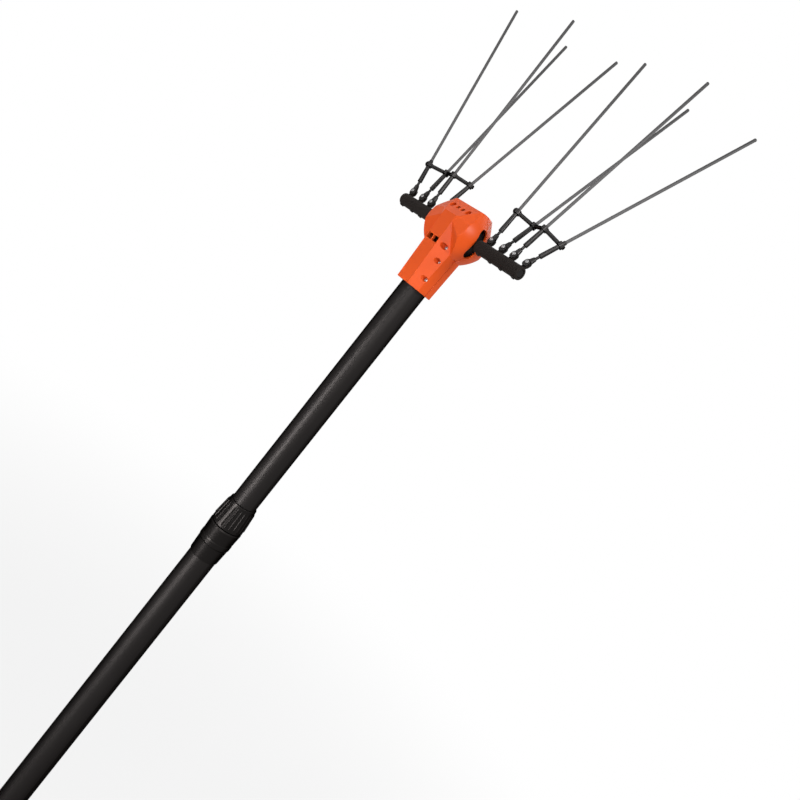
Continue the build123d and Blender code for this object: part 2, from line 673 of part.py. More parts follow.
def build_shells():
    """Front and rear head shells with their screw bosses, pivot bosses, side slots and vents."""
    outer = head_block(0)
    hollow = head_block(HEAD_WALL) & half_space((0, 0, PLATE_Z), (0, 0, 1))
    tube_seat = INNER_TUBE_R + SEAT_CLEARANCE
    body = outer - hollow - rod((0, 0, NECK_Z - 1), (0, 0, PLATE_Z), tube_seat)

    bosses = []
    for x, height, depth, counterbore in SCREW_PLACES:
        if height - SCREW_BOSS_R > SOCKET_DEPTH:
            z = NECK_Z + height
            cup_end = COUNTERBORE_FLOOR - depth
            cup_r = counterbore + COUNTERBORE_WALL
            bosses += [rod((s, -HEAD_FRONT, z), (s, HEAD_FRONT, z), SCREW_BOSS_R) for s in (-x, x)]
            bosses += [rod((s, -HEAD_FRONT, z), (s, cup_end, z), cup_r) for s in (-x, x)]
    for side, front_gap in ((1, HUB_FRONT), (-1, HUB_HALF)):
        x = side * PIVOT_X
        bosses.append(rod((x, -HEAD_FRONT, BAR_Z), (x, -front_gap - PIVOT_BOSS_GAP, BAR_Z), PIVOT_BOSS_R))
        bosses.append(rod((x, HUB_HALF + PIVOT_BOSS_GAP, BAR_Z), (x, HEAD_FRONT, BAR_Z), PIVOT_BOSS_R))
    body = body + [boss & outer for boss in bosses]

    for side in (-1, 1):
        slot = extrude(Plane.YZ * SlotOverall(SLOT_HEIGHT, SLOT_WIDTH, rotation=90), HEAD_HALF_WIDTH)
        body -= (slot if side > 0 else mirror(slot, Plane.YZ)).moved(Pos(side * (PIVOT_X + HUB_R), 0, BAR_Z))
        for x, width, tall, height in (
            (VENT_X, VENT_WIDTH, VENT_TALL, WAIST_HEIGHT + VENT_RISE),
            (TOP_VENT_X, TOP_VENT_WIDTH, TOP_VENT_TALL, TOP_SCREW_HEIGHT),
        ):
            vent_z = NECK_Z + height
            body -= block((side * x - width / 2, -2 * HEAD_FRONT, vent_z - tall / 2),
                          (side * x + width / 2, -TOP_FRONT + HEAD_WALL, vent_z + tall / 2))
        x = side * PIVOT_X
        seat_end = HUB_FRONT + PIVOT_PIN_SEAT + SEAT_CLEARANCE
        body -= rod((x, -seat_end, BAR_Z), (x, seat_end, BAR_Z), PIVOT_PIN_R + SEAT_CLEARANCE)
        pry = block((-PRY_SLOT_DEPTH, -PRY_SLOT_WIDTH, -PRY_SLOT_LENGTH / 2),
                    (PRY_SLOT_DEPTH, 0, PRY_SLOT_LENGTH / 2))
        body -= pry.moved(Pos(side * WAIST_HALF_WIDTH, -PARTING_GROOVE, NECK_Z + WAIST_HEIGHT))

    groove = (outer - head_block(PARTING_DEPTH)) & block(
        (-REACH, -PARTING_GROOVE / 2, NECK_Z - 1), (REACH, PARTING_GROOVE / 2, NECK_Z + HEAD_HEIGHT + 1)
    )
    body -= groove
    front = body & half_space((0, 0, BAR_Z), (0, -1, 0))
    rear = body & half_space((0, 0, BAR_Z), (0, 1, 0))
    screws = []
    for x, height, depth, counterbore in SCREW_PLACES:
        for side in (-1, 1):
            place = (side * x, 0, NECK_Z + height)
            seat = (side * x, -depth, NECK_Z + height)
            front -= rod(seat, (side * x, -2 * HEAD_FRONT, NECK_Z + height), counterbore)
            front -= rod(seat, place, SCREW_R + SCREW_CLEARANCE)
            hole_end = (side * x, SCREW_GRIP + SCREW_END_GAP, NECK_Z + height)
            rear -= rod(place, hole_end, SCREW_R + SEAT_CLEARANCE)
            screws.append(cross_screw(seat, depth + SCREW_GRIP))
    parts["front_shell"] = front
    parts["rear_shell"] = rear
    parts["shell_screws"] = Compound(screws)
    pins = []
    for side in (-1, 1):
        x = side * PIVOT_X
        end = HUB_FRONT + PIVOT_PIN_SEAT
        pins.append(rod((x, -end, BAR_Z), (x, end, BAR_Z), PIVOT_PIN_R))
    parts["pivot_pins"] = Compound(pins)


# Drive

def build_motor():
    """Motor can, magnets, end cap and armature in the top of the inner tube."""
    top = PLATE_Z
    low = top - MOTOR_LENGTH
    inner_r = MOTOR_R - MOTOR_WALL
    can = rod((0, 0, low), (0, 0, top), MOTOR_R)
    can -= rod((0, 0, low), (0, 0, top - MOTOR_FRONT_WALL), inner_r)
    can -= rod((0, 0, low), (0, 0, top), MOTOR_SHAFT_R + RUNNING_FIT)
    parts["motor_can"] = can
    cap = rod((0, 0, low - MOTOR_CAP), (0, 0, low), MOTOR_R)
    cap += rod((0, 0, low), (0, 0, low + MOTOR_CAP), inner_r - SEAT_CLEARANCE)
    cap -= rod((0, 0, low - MOTOR_CAP / 2), (0, 0, low + MOTOR_CAP), MOTOR_SHAFT_R + RUNNING_FIT)
    parts["motor_end_cap"] = cap

    middle = (low + top) / 2
    magnet_ring = ring((0, 0, middle - MAGNET_LENGTH / 2), (0, 0, middle + MAGNET_LENGTH / 2),
                       inner_r - SEAT_CLEARANCE, MAGNET_INNER_R)
    edge = radians(90 - MAGNET_ARC / 2)
    magnets = []
    for side in (-1, 1):
        kept = magnet_ring & half_space((0, 0, middle), (side * cos(edge), sin(edge), 0))
        magnets.append(kept & half_space((0, 0, middle), (side * cos(edge), -sin(edge), 0)))
    parts["motor_magnets"] = Compound(magnets)

    core_low = middle - ARMATURE_LENGTH / 2
    core_top = middle + ARMATURE_LENGTH / 2
    armature = rod((0, 0, core_low), (0, 0, core_top), ARMATURE_R)
    slot = block((ARMATURE_R - ARMATURE_SLOT_DEPTH, -ARMATURE_SLOT_WIDTH / 2, core_low),
                 (2 * ARMATURE_R, ARMATURE_SLOT_WIDTH / 2, core_top))
    armature -= [Rot(0, 0, 360 * n / ARMATURE_SLOTS) * slot for n in range(ARMATURE_SLOTS)]
    armature += rod((0, 0, core_low - COMMUTATOR_LENGTH), (0, 0, core_low), COMMUTATOR_R)
    armature += rod((0, 0, low - MOTOR_CAP / 2 + SHAFT_END_GAP), (0, 0, GEAR_TOP_Z), MOTOR_SHAFT_R)
    parts["armature"] = armature


def build_gears():
    """Gear plate on the tube's end, pinion, crank gear with its pin and roller, and its bearing."""
    crank_y = -GEAR_SPACING
    plate = rod((0, 0, PLATE_Z), (0, 0, PLATE_Z + PLATE_THICKNESS), PLATE_R)
    plate &= head_block(HEAD_WALL + SCREW_CLEARANCE)
    plate -= rod((0, 0, PLATE_Z), (0, 0, GEAR_Z), MOTOR_SHAFT_R + 2 * SCREW_CLEARANCE)
    plate -= rod((0, crank_y, PLATE_Z), (0, crank_y, GEAR_Z), BEARING_R + SEAT_CLEARANCE)
    screws = []
    for side in (-1, 1):
        x = side * PLATE_SCREW_X
        hole_top = (x, PLATE_SCREW_Y, PLATE_Z + PLATE_THICKNESS)
        plate -= rod((x, PLATE_SCREW_Y, PLATE_Z), hole_top, SCREW_R + SCREW_CLEARANCE)
        head = rod(hole_top, (x, PLATE_SCREW_Y, PLATE_Z + PLATE_THICKNESS + SCREW_HEAD), SCREW_HEAD_R)
        screws.append(head + rod((x, PLATE_SCREW_Y, PLATE_Z - SCREW_GRIP), hole_top, SCREW_R))
        hole_end = (x, PLATE_SCREW_Y, PLATE_Z - SCREW_GRIP - SCREW_END_GAP)
        parts["rear_shell"] -= rod(hole_end, (x, PLATE_SCREW_Y, PLATE_Z), SCREW_R + SEAT_CLEARANCE)
    parts["gear_plate"] = plate
    parts["plate_screws"] = Compound(screws)
    parts["crank_bearing"] = ring((0, crank_y, PLATE_Z), (0, crank_y, PLATE_Z + PLATE_THICKNESS),
                                  BEARING_R, CRANK_SHAFT_R + RUNNING_FIT)

    pinion_turn = -90 + 180 / PINION_TEETH
    pinion = extrude(gear_face(PINION_TEETH, GEAR_MODULE, GEAR_BACKLASH, pinion_turn), GEAR_WIDTH)
    pinion = pinion.moved(Pos(0, 0, GEAR_Z))
    parts["motor_pinion"] = pinion - rod((0, 0, GEAR_Z), (0, 0, GEAR_TOP_Z), MOTOR_SHAFT_R + ROD_SEAT)

    gear = extrude(gear_face(CRANK_TEETH, GEAR_MODULE, GEAR_BACKLASH, 90), GEAR_WIDTH)
    gear = gear.moved(Pos(0, crank_y, GEAR_Z))
    gear += rod((0, crank_y, PLATE_Z + CRANK_SHAFT_LIFT), (0, crank_y, GEAR_Z), CRANK_SHAFT_R)
    pin_y = crank_y + CRANK_THROW
    gear += rod((0, pin_y, GEAR_TOP_Z), (0, pin_y, ROLLER_Z), ROLLER_R)
    pin_low = (0, pin_y, GEAR_Z + CRANK_PIN_FLOOR)
    gear -= rod(pin_low, (0, pin_y, ROLLER_Z), CRANK_PIN_R + ROD_SEAT)
    parts["crank_gear"] = gear
    parts["crank_pin"] = rod(pin_low, (0, pin_y, GEAR_TOP_Z + CRANK_PIN_RISE), CRANK_PIN_R)
    parts["crank_roller"] = ring((0, pin_y, ROLLER_Z), (0, pin_y, ROLLER_Z + ROLLER_LENGTH),
                                 ROLLER_R, CRANK_PIN_R + ROD_SEAT)


# Rakes

def rocker_arm(side):
    """A rocker: hub, sector teeth towards the other rocker, and the stub that carries the rake bar."""
    x = side * PIVOT_X
    tooth_turn = 180.0 if side > 0 else 180.0 / SECTOR_TEETH
    teeth = extrude(Plane.XZ * gear_face(SECTOR_TEETH, SECTOR_MODULE, SECTOR_BACKLASH, tooth_turn),
                    SECTOR_HALF_WIDTH, both=True).moved(Pos(x, 0, BAR_Z))
    for tilt in (-1, 1):
        lean = radians(90 - SECTOR_REACH)
        teeth &= half_space((x, 0, BAR_Z), (-side * cos(lean), 0, tilt * sin(lean)))
    arm = teeth + rod((x, -HUB_HALF, BAR_Z), (x, HUB_HALF, BAR_Z), HUB_R)
    arm += rod((x, 0, BAR_Z), (side * STUB_END_X, 0, BAR_Z), STUB_R)
    if side > 0:
        arm += drive_lever()
    front = HUB_FRONT if side > 0 else HUB_HALF
    return arm - rod((x, -front, BAR_Z), (x, HUB_HALF, BAR_Z), PIVOT_PIN_R + RUNNING_FIT + PIVOT_BUSH_WALL)


def drive_lever():
    """The lever in front of the right hub, with the fork that the crank roller runs in."""
    crank_y = -GEAR_SPACING
    gap = ROLLER_R + FORK_CLEARANCE
    outside = gap + FORK_PRONG
    reach = CRANK_THROW + ROLLER_R + FORK_END_GAP
    front_y = crank_y - reach
    bridge_low = max(ROLLER_Z + ROLLER_LENGTH, GEAR_TOP_Z + CRANK_PIN_RISE) + FORK_DIP + FORK_BRIDGE_GAP
    bridge_top = bridge_low + FORK_BRIDGE
    web = make_face(
        Polyline(
            (-outside, bridge_low),
            (outside, bridge_low),
            (PIVOT_X + HUB_R * cos(radians(20)), BAR_Z - HUB_R * sin(radians(20))),
            (PIVOT_X - HUB_R * cos(radians(30)), BAR_Z + HUB_R * sin(radians(30))),
            (-outside, bridge_top),
            close=True,
        )
    )
    lever = extrude((Plane.XZ * web).moved(Pos(0, -HUB_HALF, 0)), LEVER_THICKNESS)
    lever += rod((PIVOT_X, -HUB_FRONT, BAR_Z), (PIVOT_X, -HUB_HALF, BAR_Z), HUB_R)
    lever += block((-outside, front_y, bridge_low), (outside, -HUB_HALF, bridge_top))
    for low_x, high_x in ((-outside, -gap), (gap, outside)):
        prong_low = GEAR_TOP_Z + FORK_DIP + FORK_GEAR_GAP
        lever += block((low_x, front_y, prong_low), (high_x, -HUB_HALF - RUNNING_FIT, bridge_low))
    return lever


def tine_frame(side, index):
    """Pivot point of a tine and its lean towards +X, in the rake's plane before the bar is rolled."""
    return Vector(side * TINE_PLACES[index], 0, BAR_Z + TINE_PIVOT), side * TINE_FAN[index]


def tine_tip(side, index):
    """How far a tine leans to the back, every second one leaning to the front instead."""
    return TINE_ZIGZAG * side * (1 if index % 2 else -1)


def tine_location(side, index):
    """Where a tine built upright at the origin goes: tipped, leaned, and set on its pivot."""
    pivot, lean = tine_frame(side, index)
    return Pos(*pivot) * Rot(0, lean, 0) * Rot(-tine_tip(side, index), 0, 0)


def left_rake_bar():
    """The black bar of the left rake, with a lug for each tine, nubs below and an end that takes the plug."""
    bar = rod((-BAR_START_X, 0, BAR_Z), (-BAR_END_X, 0, BAR_Z), BAR_R)
    bar = fillet(bar.edges().filter_by(GeomType.CIRCLE).sort_by(Axis.X)[0], BAR_EDGE)
    pivot_z = BAR_Z + TINE_PIVOT
    for place in TINE_PLACES:
        lug = block((-place - LUG_R, -LUG_HALF, BAR_Z), (-place + LUG_R, LUG_HALF, pivot_z))
        lug += rod((-place, -LUG_HALF, pivot_z), (-place, LUG_HALF, pivot_z), LUG_R)
        bar += lug
        bar += rod((-place, 0, BAR_Z), (-place, 0, BAR_Z - BAR_R - BAR_NUB), BAR_NUB_R)
    for place in TINE_PLACES:
        bar -= rod((-place, -BAR_R, pivot_z), (-place, BAR_R, pivot_z), KNUCKLE_SCREW_R + ROD_SEAT)
    bar -= rod((-BAR_START_X, 0, BAR_Z), (-STUB_END_X, 0, BAR_Z), STUB_R + SEAT_CLEARANCE)
    plug_x = BAR_END_X - BAR_PLUG_LENGTH
    return bar - rod((-plug_x, 0, BAR_Z), (-BAR_END_X, 0, BAR_Z), BAR_PLUG_R + SEAT_CLEARANCE)


def tine_holder(side, index):
    """A moulded holder: clevis on the bar's lug, cone, thin neck and the sleeve that grips the rod."""
    pivot, lean = tine_frame(side, index)
    stem = make_face(
        Polyline(
            (0, COLLAR_CONE_START),
            (COLLAR_CONE_R, COLLAR_CONE_START),
            (COLLAR_CONE_TIP_R, COLLAR_CONE_END),
            (NECK_R, COLLAR_CONE_END + NECK_STEP),
            (NECK_R, SLEEVE_START - NECK_FLARE),
            (SLEEVE_BASE_R, SLEEVE_START),
            (SLEEVE_TIP_R, SLEEVE_END),
            (0, SLEEVE_END),
            close=True,
        )
    )
    stem = revolve(Plane.XZ * stem, Axis.Z)
    stem -= rod((0, 0, ROD_START - ROD_END_GAP), (0, 0, SLEEVE_END), ROD_R + ROD_SEAT)
    clevis = rod((0, -KNUCKLE_HALF, 0), (0, KNUCKLE_HALF, 0), KNUCKLE_R)
    clevis += rod((0, -KNUCKLE_HALF, -KNUCKLE_DROP), (0, KNUCKLE_HALF, -KNUCKLE_DROP), KNUCKLE_R)
    clevis += block((-KNUCKLE_R, -KNUCKLE_HALF, -KNUCKLE_DROP), (KNUCKLE_R, KNUCKLE_HALF, 0))
    slot_half = LUG_HALF + KNUCKLE_GAP
    slot_r = LUG_R + KNUCKLE_GAP
    holder = Rot(0, lean, 0) * (clevis + Rot(-tine_tip(side, index), 0, 0) * stem)
    holder -= rod((0, -slot_half, 0), (0, slot_half, 0), slot_r)
    gap = block((-2 * KNUCKLE_R, -slot_half, -2 * KNUCKLE_R), (2 * KNUCKLE_R, slot_half, 0))
    holder -= Rot(0, lean, 0) * gap
    holder -= rod((0, -2 * KNUCKLE_HALF, 0), (0, 2 * KNUCKLE_HALF, 0), KNUCKLE_SCREW_R + RUNNING_FIT)
    return holder.moved(Pos(*pivot))


def carbon_rod(side, index):
    """A carbon rod in its holder's sleeve, with rounded ends."""
    bar = rod((0, 0, ROD_START), (0, 0, ROD_END), ROD_R)
    bar = fillet(bar.edges().filter_by(GeomType.CIRCLE).group_by(Axis.Z)[-1], ROD_TIP_EDGE)
    return tine_location(side, index) * bar


def cross_link(side):
    """The link that ties a rake's four tines: a loose eye round each sleeve and a bar between the eyes."""
    centres = [(tine_location(side, i) * Pos(0, 0, place)).position for i, place in enumerate(LINK_PLACES)]
    bars = [rod(a, b, LINK_BAR_R) for a, b in zip(centres, centres[1:])]
    for end, inner in ((centres[0], centres[1]), (centres[-1], centres[-2])):
        bars.append(rod(end, end + (end - inner).normalized() * LINK_NUB, LINK_BAR_R))
    eyes = []
    bores = []
    for index, centre in enumerate(centres):
        stand = Pos(*centre) * Rot(0, side * TINE_FAN[index], 0) * Rot(-tine_tip(side, index), 0, 0)
        eyes.append(stand * Cylinder(LINK_EYE_R, LINK_EYE_HEIGHT, align=CENTRED))
        bores.append(stand * Cylinder(LINK_EYE_BORE_R, 3 * LINK_EYE_HEIGHT, align=CENTRED))
    return eyes[0] + eyes[1:] + bars - bores


def build_rake(name, side):
    """One rake: rocker, bushes, slot shield, bar, plug, screws, holders, rods and cross-link."""
    x = side * PIVOT_X
    parts[f"{name}_rocker"] = rocker_arm(side)
    front = HUB_FRONT if side > 0 else HUB_HALF
    bush_r = PIVOT_PIN_R + RUNNING_FIT + PIVOT_BUSH_WALL - ROD_SEAT
    bush_bore = PIVOT_PIN_R + RUNNING_FIT
    parts[f"{name}_pivot_bushes"] = Compound(
        [
            ring((x, -front, BAR_Z), (x, -front + PIVOT_BUSH_LENGTH, BAR_Z), bush_r, bush_bore),
            ring((x, HUB_HALF - PIVOT_BUSH_LENGTH, BAR_Z), (x, HUB_HALF, BAR_Z), bush_r, bush_bore),
        ]
    )
    shield_ends = [(x, y, BAR_Z) for y in (-SHIELD_FRONT, SHIELD_REAR)]
    shield = ring(*shield_ends, SHIELD_R, SHIELD_R - SHIELD_THICKNESS)
    for tilt in (-1, 1):
        lean = radians(90 - SHIELD_ARC)
        shield &= half_space((x, 0, BAR_Z), (side * cos(lean), 0, tilt * sin(lean)))
    shield -= rod((x, 0, BAR_Z), (side * BAR_END_X, 0, BAR_Z), STUB_R + SEAT_CLEARANCE)
    parts[f"{name}_slot_shield"] = shield

    bar = left_rake_bar()
    parts[f"{name}_rake_bar"] = Rot(0, 0, 180) * bar if side > 0 else bar
    plug_x = side * (BAR_END_X - BAR_PLUG_LENGTH)
    plug = rod((plug_x, 0, BAR_Z), (side * (BAR_END_X - BAR_PLUG_RECESS), 0, BAR_Z), BAR_PLUG_R)
    rim = plug.edges().filter_by(GeomType.CIRCLE).sort_by(Axis.X)[-1 if side > 0 else 0]
    parts[f"{name}_bar_plug"] = chamfer(rim, BAR_PLUG_EDGE)

    fasteners = []
    head_low = KNUCKLE_HALF + KNUCKLE_HEAD_GAP
    for place in TINE_PLACES:
        px = side * place
        pz = BAR_Z + TINE_PIVOT
        screw = rod((px, -head_low, pz), (px, head_low + KNUCKLE_HEAD, pz), KNUCKLE_SCREW_R)
        screw += rod((px, -head_low - KNUCKLE_HEAD, pz), (px, -head_low, pz), KNUCKLE_HEAD_R)
        fasteners.append(screw)
        fasteners.append(ring((px, head_low, pz), (px, head_low + KNUCKLE_HEAD, pz),
                              KNUCKLE_HEAD_R, KNUCKLE_SCREW_R + ROD_SEAT))
    parts[f"{name}_tine_screws"] = Compound(fasteners)
    for index in range(len(TINE_PLACES)):
        parts[f"{name}_tine_holder_{index + 1}"] = tine_holder(side, index)
        parts[f"{name}_carbon_rod_{index + 1}"] = carbon_rod(side, index)
    parts[f"{name}_cross_link"] = cross_link(side)

    roll = RIGHT_BAR_ROLL if side > 0 else LEFT_BAR_ROLL
    rolled = Pos(0, 0, BAR_Z) * Rot(-roll, 0, 0) * Pos(0, 0, -BAR_Z)
    clamped = ["rake_bar", "bar_plug", "tine_screws", "cross_link"]
    for n in range(len(TINE_PLACES)):
        clamped += [f"tine_holder_{n + 1}", f"carbon_rod_{n + 1}"]
    for piece in clamped:
        parts[f"{name}_{piece}"] = rolled * parts[f"{name}_{piece}"]


build_pole()
build_collar()
build_handle()
build_switch()
build_shells()
build_motor()
build_gears()
build_rake("right", 1)
build_rake("left", -1)

os.makedirs("parts", exist_ok=True)
for node, solid in parts.items():
    export_step(solid, f"parts/{node}.step")
print(len(parts), "nodes")
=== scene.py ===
"""Looks of an electric olive harvester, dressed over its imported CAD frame.

The pole stands on its handle end, +Z runs up to the head, +X to the right rake and -Y to the front.
"""

import json
import logging
import math
from dataclasses import dataclass
from enum import Enum
from typing import Any, Iterable, Mapping, Optional, Sequence, Union

import bmesh
import bpy
from mathutils import Matrix, Vector

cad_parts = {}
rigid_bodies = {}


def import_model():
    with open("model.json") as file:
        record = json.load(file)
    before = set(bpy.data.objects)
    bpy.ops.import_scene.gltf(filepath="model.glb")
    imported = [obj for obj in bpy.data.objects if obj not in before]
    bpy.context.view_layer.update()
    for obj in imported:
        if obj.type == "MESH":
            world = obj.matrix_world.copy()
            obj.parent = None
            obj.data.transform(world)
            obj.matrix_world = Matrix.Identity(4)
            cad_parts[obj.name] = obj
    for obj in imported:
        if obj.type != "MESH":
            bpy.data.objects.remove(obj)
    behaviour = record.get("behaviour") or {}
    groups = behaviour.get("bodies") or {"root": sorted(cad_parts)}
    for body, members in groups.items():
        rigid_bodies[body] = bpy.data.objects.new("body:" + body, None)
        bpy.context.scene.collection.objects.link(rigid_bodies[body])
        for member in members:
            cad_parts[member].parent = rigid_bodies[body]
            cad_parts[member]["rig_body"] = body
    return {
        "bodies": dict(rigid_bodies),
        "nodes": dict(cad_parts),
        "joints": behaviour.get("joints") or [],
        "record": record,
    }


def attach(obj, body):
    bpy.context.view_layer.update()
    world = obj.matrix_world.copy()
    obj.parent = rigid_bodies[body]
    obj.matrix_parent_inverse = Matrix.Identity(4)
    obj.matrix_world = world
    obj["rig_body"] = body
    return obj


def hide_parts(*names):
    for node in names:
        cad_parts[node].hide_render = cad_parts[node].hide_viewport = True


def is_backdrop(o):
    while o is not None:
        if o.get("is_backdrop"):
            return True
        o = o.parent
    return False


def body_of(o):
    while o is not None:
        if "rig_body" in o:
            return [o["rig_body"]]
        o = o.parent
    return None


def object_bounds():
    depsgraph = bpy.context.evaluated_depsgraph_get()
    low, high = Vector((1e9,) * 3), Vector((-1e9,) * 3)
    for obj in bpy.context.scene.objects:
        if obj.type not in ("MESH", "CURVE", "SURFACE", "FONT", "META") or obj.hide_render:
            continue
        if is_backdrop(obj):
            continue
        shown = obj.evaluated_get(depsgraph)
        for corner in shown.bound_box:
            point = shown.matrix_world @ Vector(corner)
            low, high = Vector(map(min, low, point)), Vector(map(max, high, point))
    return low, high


LOG = logging.getLogger("harvester")
MM = 0.001
# The middle of a noise pattern's range
MIDDLE = 0.5
Colour = tuple[float, float, float]
Point = tuple[float, float, float]
Corner = tuple[float, float]
Number = Union[float, "Wire"]
WHITE: Colour = (1.0, 1.0, 1.0)
# painted shade: a rim tint that darkens what dark mirrors reflect at a glance, so their edges stay dark
PAINTED_SHADE_RIM: Colour = (0.2, 0.2, 0.2)


class Side(Enum):
    """The two rakes, with the sign of X that each one lies on."""

    RIGHT = 1
    LEFT = -1

    @property
    def word(self) -> str:
        """The word that this side's node names start with."""
        return self.name.lower()


class Slot(Enum):
    """The record's material slots that new pieces are listed with."""

    BLACK_PLASTIC = "black_plastic"
    GRIP = "grip"
    STEEL = "steel"


# Shader expressions


class Wire:
    """One output socket of a material's graph, which can be used in Python expressions."""

    def __init__(self, graph: "Graph", socket: bpy.types.NodeSocket) -> None:
        """Keep the socket and the graph that its expressions add their nodes to."""
        self.graph = graph
        self.socket = socket

    def __add__(self, other: Number) -> "Wire":
        """self + other"""
        return self.graph.maths("ADD", self, other)

    def __radd__(self, other: Number) -> "Wire":
        """other + self"""
        return self.graph.maths("ADD", other, self)

    def __sub__(self, other: Number) -> "Wire":
        """self - other"""
        return self.graph.maths("SUBTRACT", self, other)

    def __rsub__(self, other: Number) -> "Wire":
        """other - self"""
        return self.graph.maths("SUBTRACT", other, self)

    def __mul__(self, other: Number) -> "Wire":
        """self * other"""
        return self.graph.maths("MULTIPLY", self, other)

    def __rmul__(self, other: Number) -> "Wire":
        """other * self"""
        return self.graph.maths("MULTIPLY", other, self)

    def between(self, low: float, high: float) -> "Wire":
        """A smooth step of this value.

        Args:
            low: value that gives 0.
            high: value that gives 1.

        Returns:
            The step, from 0 to 1.
        """
        settings = {"interpolation_type": "SMOOTHSTEP", "clamp": True}
        sockets = {"Value": self, "From Min": low, "From Max": high}
        return self.graph.node("ShaderNodeMapRange", settings, sockets)


class Graph:
    """The node graph of a new material, or of the world."""

    # Places of a Mix node's colour sockets, whose names repeat
    mix_first: int = 6
    mix_second: int = 7
    mix_result: int = 2
    bevel_samples: int = 8

    def __init__(self, owner: Union[bpy.types.Material, bpy.types.World]) -> None:
        """Start an empty graph.

        Args:
            owner: the material or world that it belongs to.
        """
        owner.use_nodes = True
        self.owner = owner
        self.tree = owner.node_tree
        self.tree.nodes.clear()

    @classmethod
    def of_material(cls, name: str) -> "Graph":
        """The graph of a new material with this name."""
        return cls(bpy.data.materials.new(name))

    def node(
        self,
        kind: str,
        settings: Optional[Mapping[str, Any]] = None,
        sockets: Optional[Mapping[Union[str, int], Any]] = None,
        out: Union[str, int] = 0,
    ) -> Wire:
        """Add one node.

        Args:
            kind: the node's Blender type.
            settings: its properties, which are set first.
            sockets: values or wires for its inputs, by name or place.
            out: the output that is wanted, by name or place.

        Returns:
            That output.
        """
        made = self.tree.nodes.new(kind)
        for key, value in (settings or {}).items():
            setattr(made, key, value)
        for key, value in (sockets or {}).items():
            socket = made.inputs[key]
            if isinstance(value, Wire):
                self.tree.links.new(value.socket, socket)
            else:
                socket.default_value = value
        return Wire(self, made.outputs[out])

    def maths(self, operation: str, first: Number, second: Number) -> Wire:
        """A Math node on two values, of which at least one is a wire."""
        return self.node("ShaderNodeMath", {"operation": operation}, {0: first, 1: second})

    def vector(self, operation: str, first: Any, second: Any, out: str = "Vector") -> Wire:
        """A Vector Math node on two vectors; a dot product is asked for with out "Value"."""
        return self.node("ShaderNodeVectorMath", {"operation": operation}, {0: first, 1: second}, out)

    def scaled(self, vector: Any, factor: Number) -> Wire:
        """A vector times one number."""
        return self.node("ShaderNodeVectorMath", {"operation": "SCALE"}, {0: vector, "Scale": factor})

    def mix(self, factor: Number, first: Any, second: Any) -> Wire:
        """A mix of two colours.

        Args:
            factor: 0 for the first colour, 1 for the second.
            first: a wire or a triple.
            second: a wire or a triple.

        Returns:
            The mixed colour.
        """
        ends = [value if isinstance(value, Wire) else (*value, 1.0) for value in (first, second)]
        sockets = {0: factor, self.mix_first: ends[0], self.mix_second: ends[1]}
        return self.node("ShaderNodeMix", {"data_type": "RGBA"}, sockets, self.mix_result)

    def place(self) -> Wire:
        """The point on the piece in the row frame, in metres."""
        return self.node("ShaderNodeTexCoord", out="Object")

    def stretched(self, scale: Sequence[float]) -> Wire:
        """The point on the piece, multiplied along each axis."""
        return self.vector("MULTIPLY", self.place(), tuple(scale))

    def edges(self, radius: float) -> tuple[Wire, Wire]:
        """Softened normals and a mask of the edges.

        Args:
            radius: how far an edge is rounded, in metres.

        Returns:
            The rounded normal, and a value that rises from 0 on flats towards 1 on edges.
        """
        rounded = self.node("ShaderNodeBevel", {"samples": self.bevel_samples}, {"Radius": radius})
        flat = self.node("ShaderNodeNewGeometry", out="Normal")
        return rounded, 1.0 - self.vector("DOT_PRODUCT", rounded, flat, "Value")

    def bump(self, height: Wire, depth: float, normal: Optional[Wire] = None) -> Wire:
        """A bumped normal.

        Args:
            height: the relief, from 0 to 1.
            depth: what a height of 1 stands for, in metres.
            normal: the normal that it starts from, where it isn't the surface's own.

        Returns:
            The normal for the shader.
        """
        sockets: dict[str, Any] = {"Height": height, "Distance": depth}
        if normal is not None:
            sockets["Normal"] = normal
        return self.node("ShaderNodeBump", None, sockets)

    def surface(self, sockets: Mapping[str, Any]) -> bpy.types.Material:
        """Close the graph with a Principled shader.

        Args:
            sockets: values or wires for the shader's inputs.

        Returns:
            The finished material.
        """
        return self.close(self.node("ShaderNodeBsdfPrincipled", None, sockets))

    def close(self, shader: Wire) -> Union[bpy.types.Material, bpy.types.World]:
        """Send a shader to the owner's output.

        Args:
            shader: the finished shader.

        Returns:
            The owner.
        """
        kind = "World" if isinstance(self.owner, bpy.types.World) else "Material"
        end = self.tree.nodes.new(f"ShaderNodeOutput{kind}")
        self.tree.links.new(shader.socket, end.inputs["Surface"])
        return self.owner


# Finishes


@dataclass(frozen=True)
class Marks:
    """A noise pattern on a surface, given by its marks per metre.

    Places are first multiplied along each axis by the stretch, so less than 1 draws the marks out. As a mask
    the pattern fades in from its low to its high value.
    """

    per_m: float
    detail: float = 3.0
    rough: float = 0.55
    stretch: Point = (1.0, 1.0, 1.0)
    low: float = 0.0
    high: float = 1.0

    def noise(self, graph: Graph, place: Optional[Wire] = None) -> Wire:
        """The pattern itself.

        Args:
            graph: the graph that it is added to.
            place: the point that it is read at, where it isn't the stretched point on the piece.

        Returns:
            A value from 0 to 1.
        """
        point = graph.stretched(self.stretch) if place is None else place
        sockets = {"Vector": point, "Scale": self.per_m, "Detail": self.detail, "Roughness": self.rough}
        return graph.node("ShaderNodeTexNoise", {"noise_dimensions": "3D"}, sockets)

    def faded(self, pattern: Wire) -> Wire:
        """The pattern as a mask from 0 to 1."""
        return pattern.between(self.low, self.high)

    def mask(self, graph: Graph, place: Optional[Wire] = None) -> Wire:
        """The pattern, added to a graph as a mask from 0 to 1."""
        return self.faded(self.noise(graph, place))


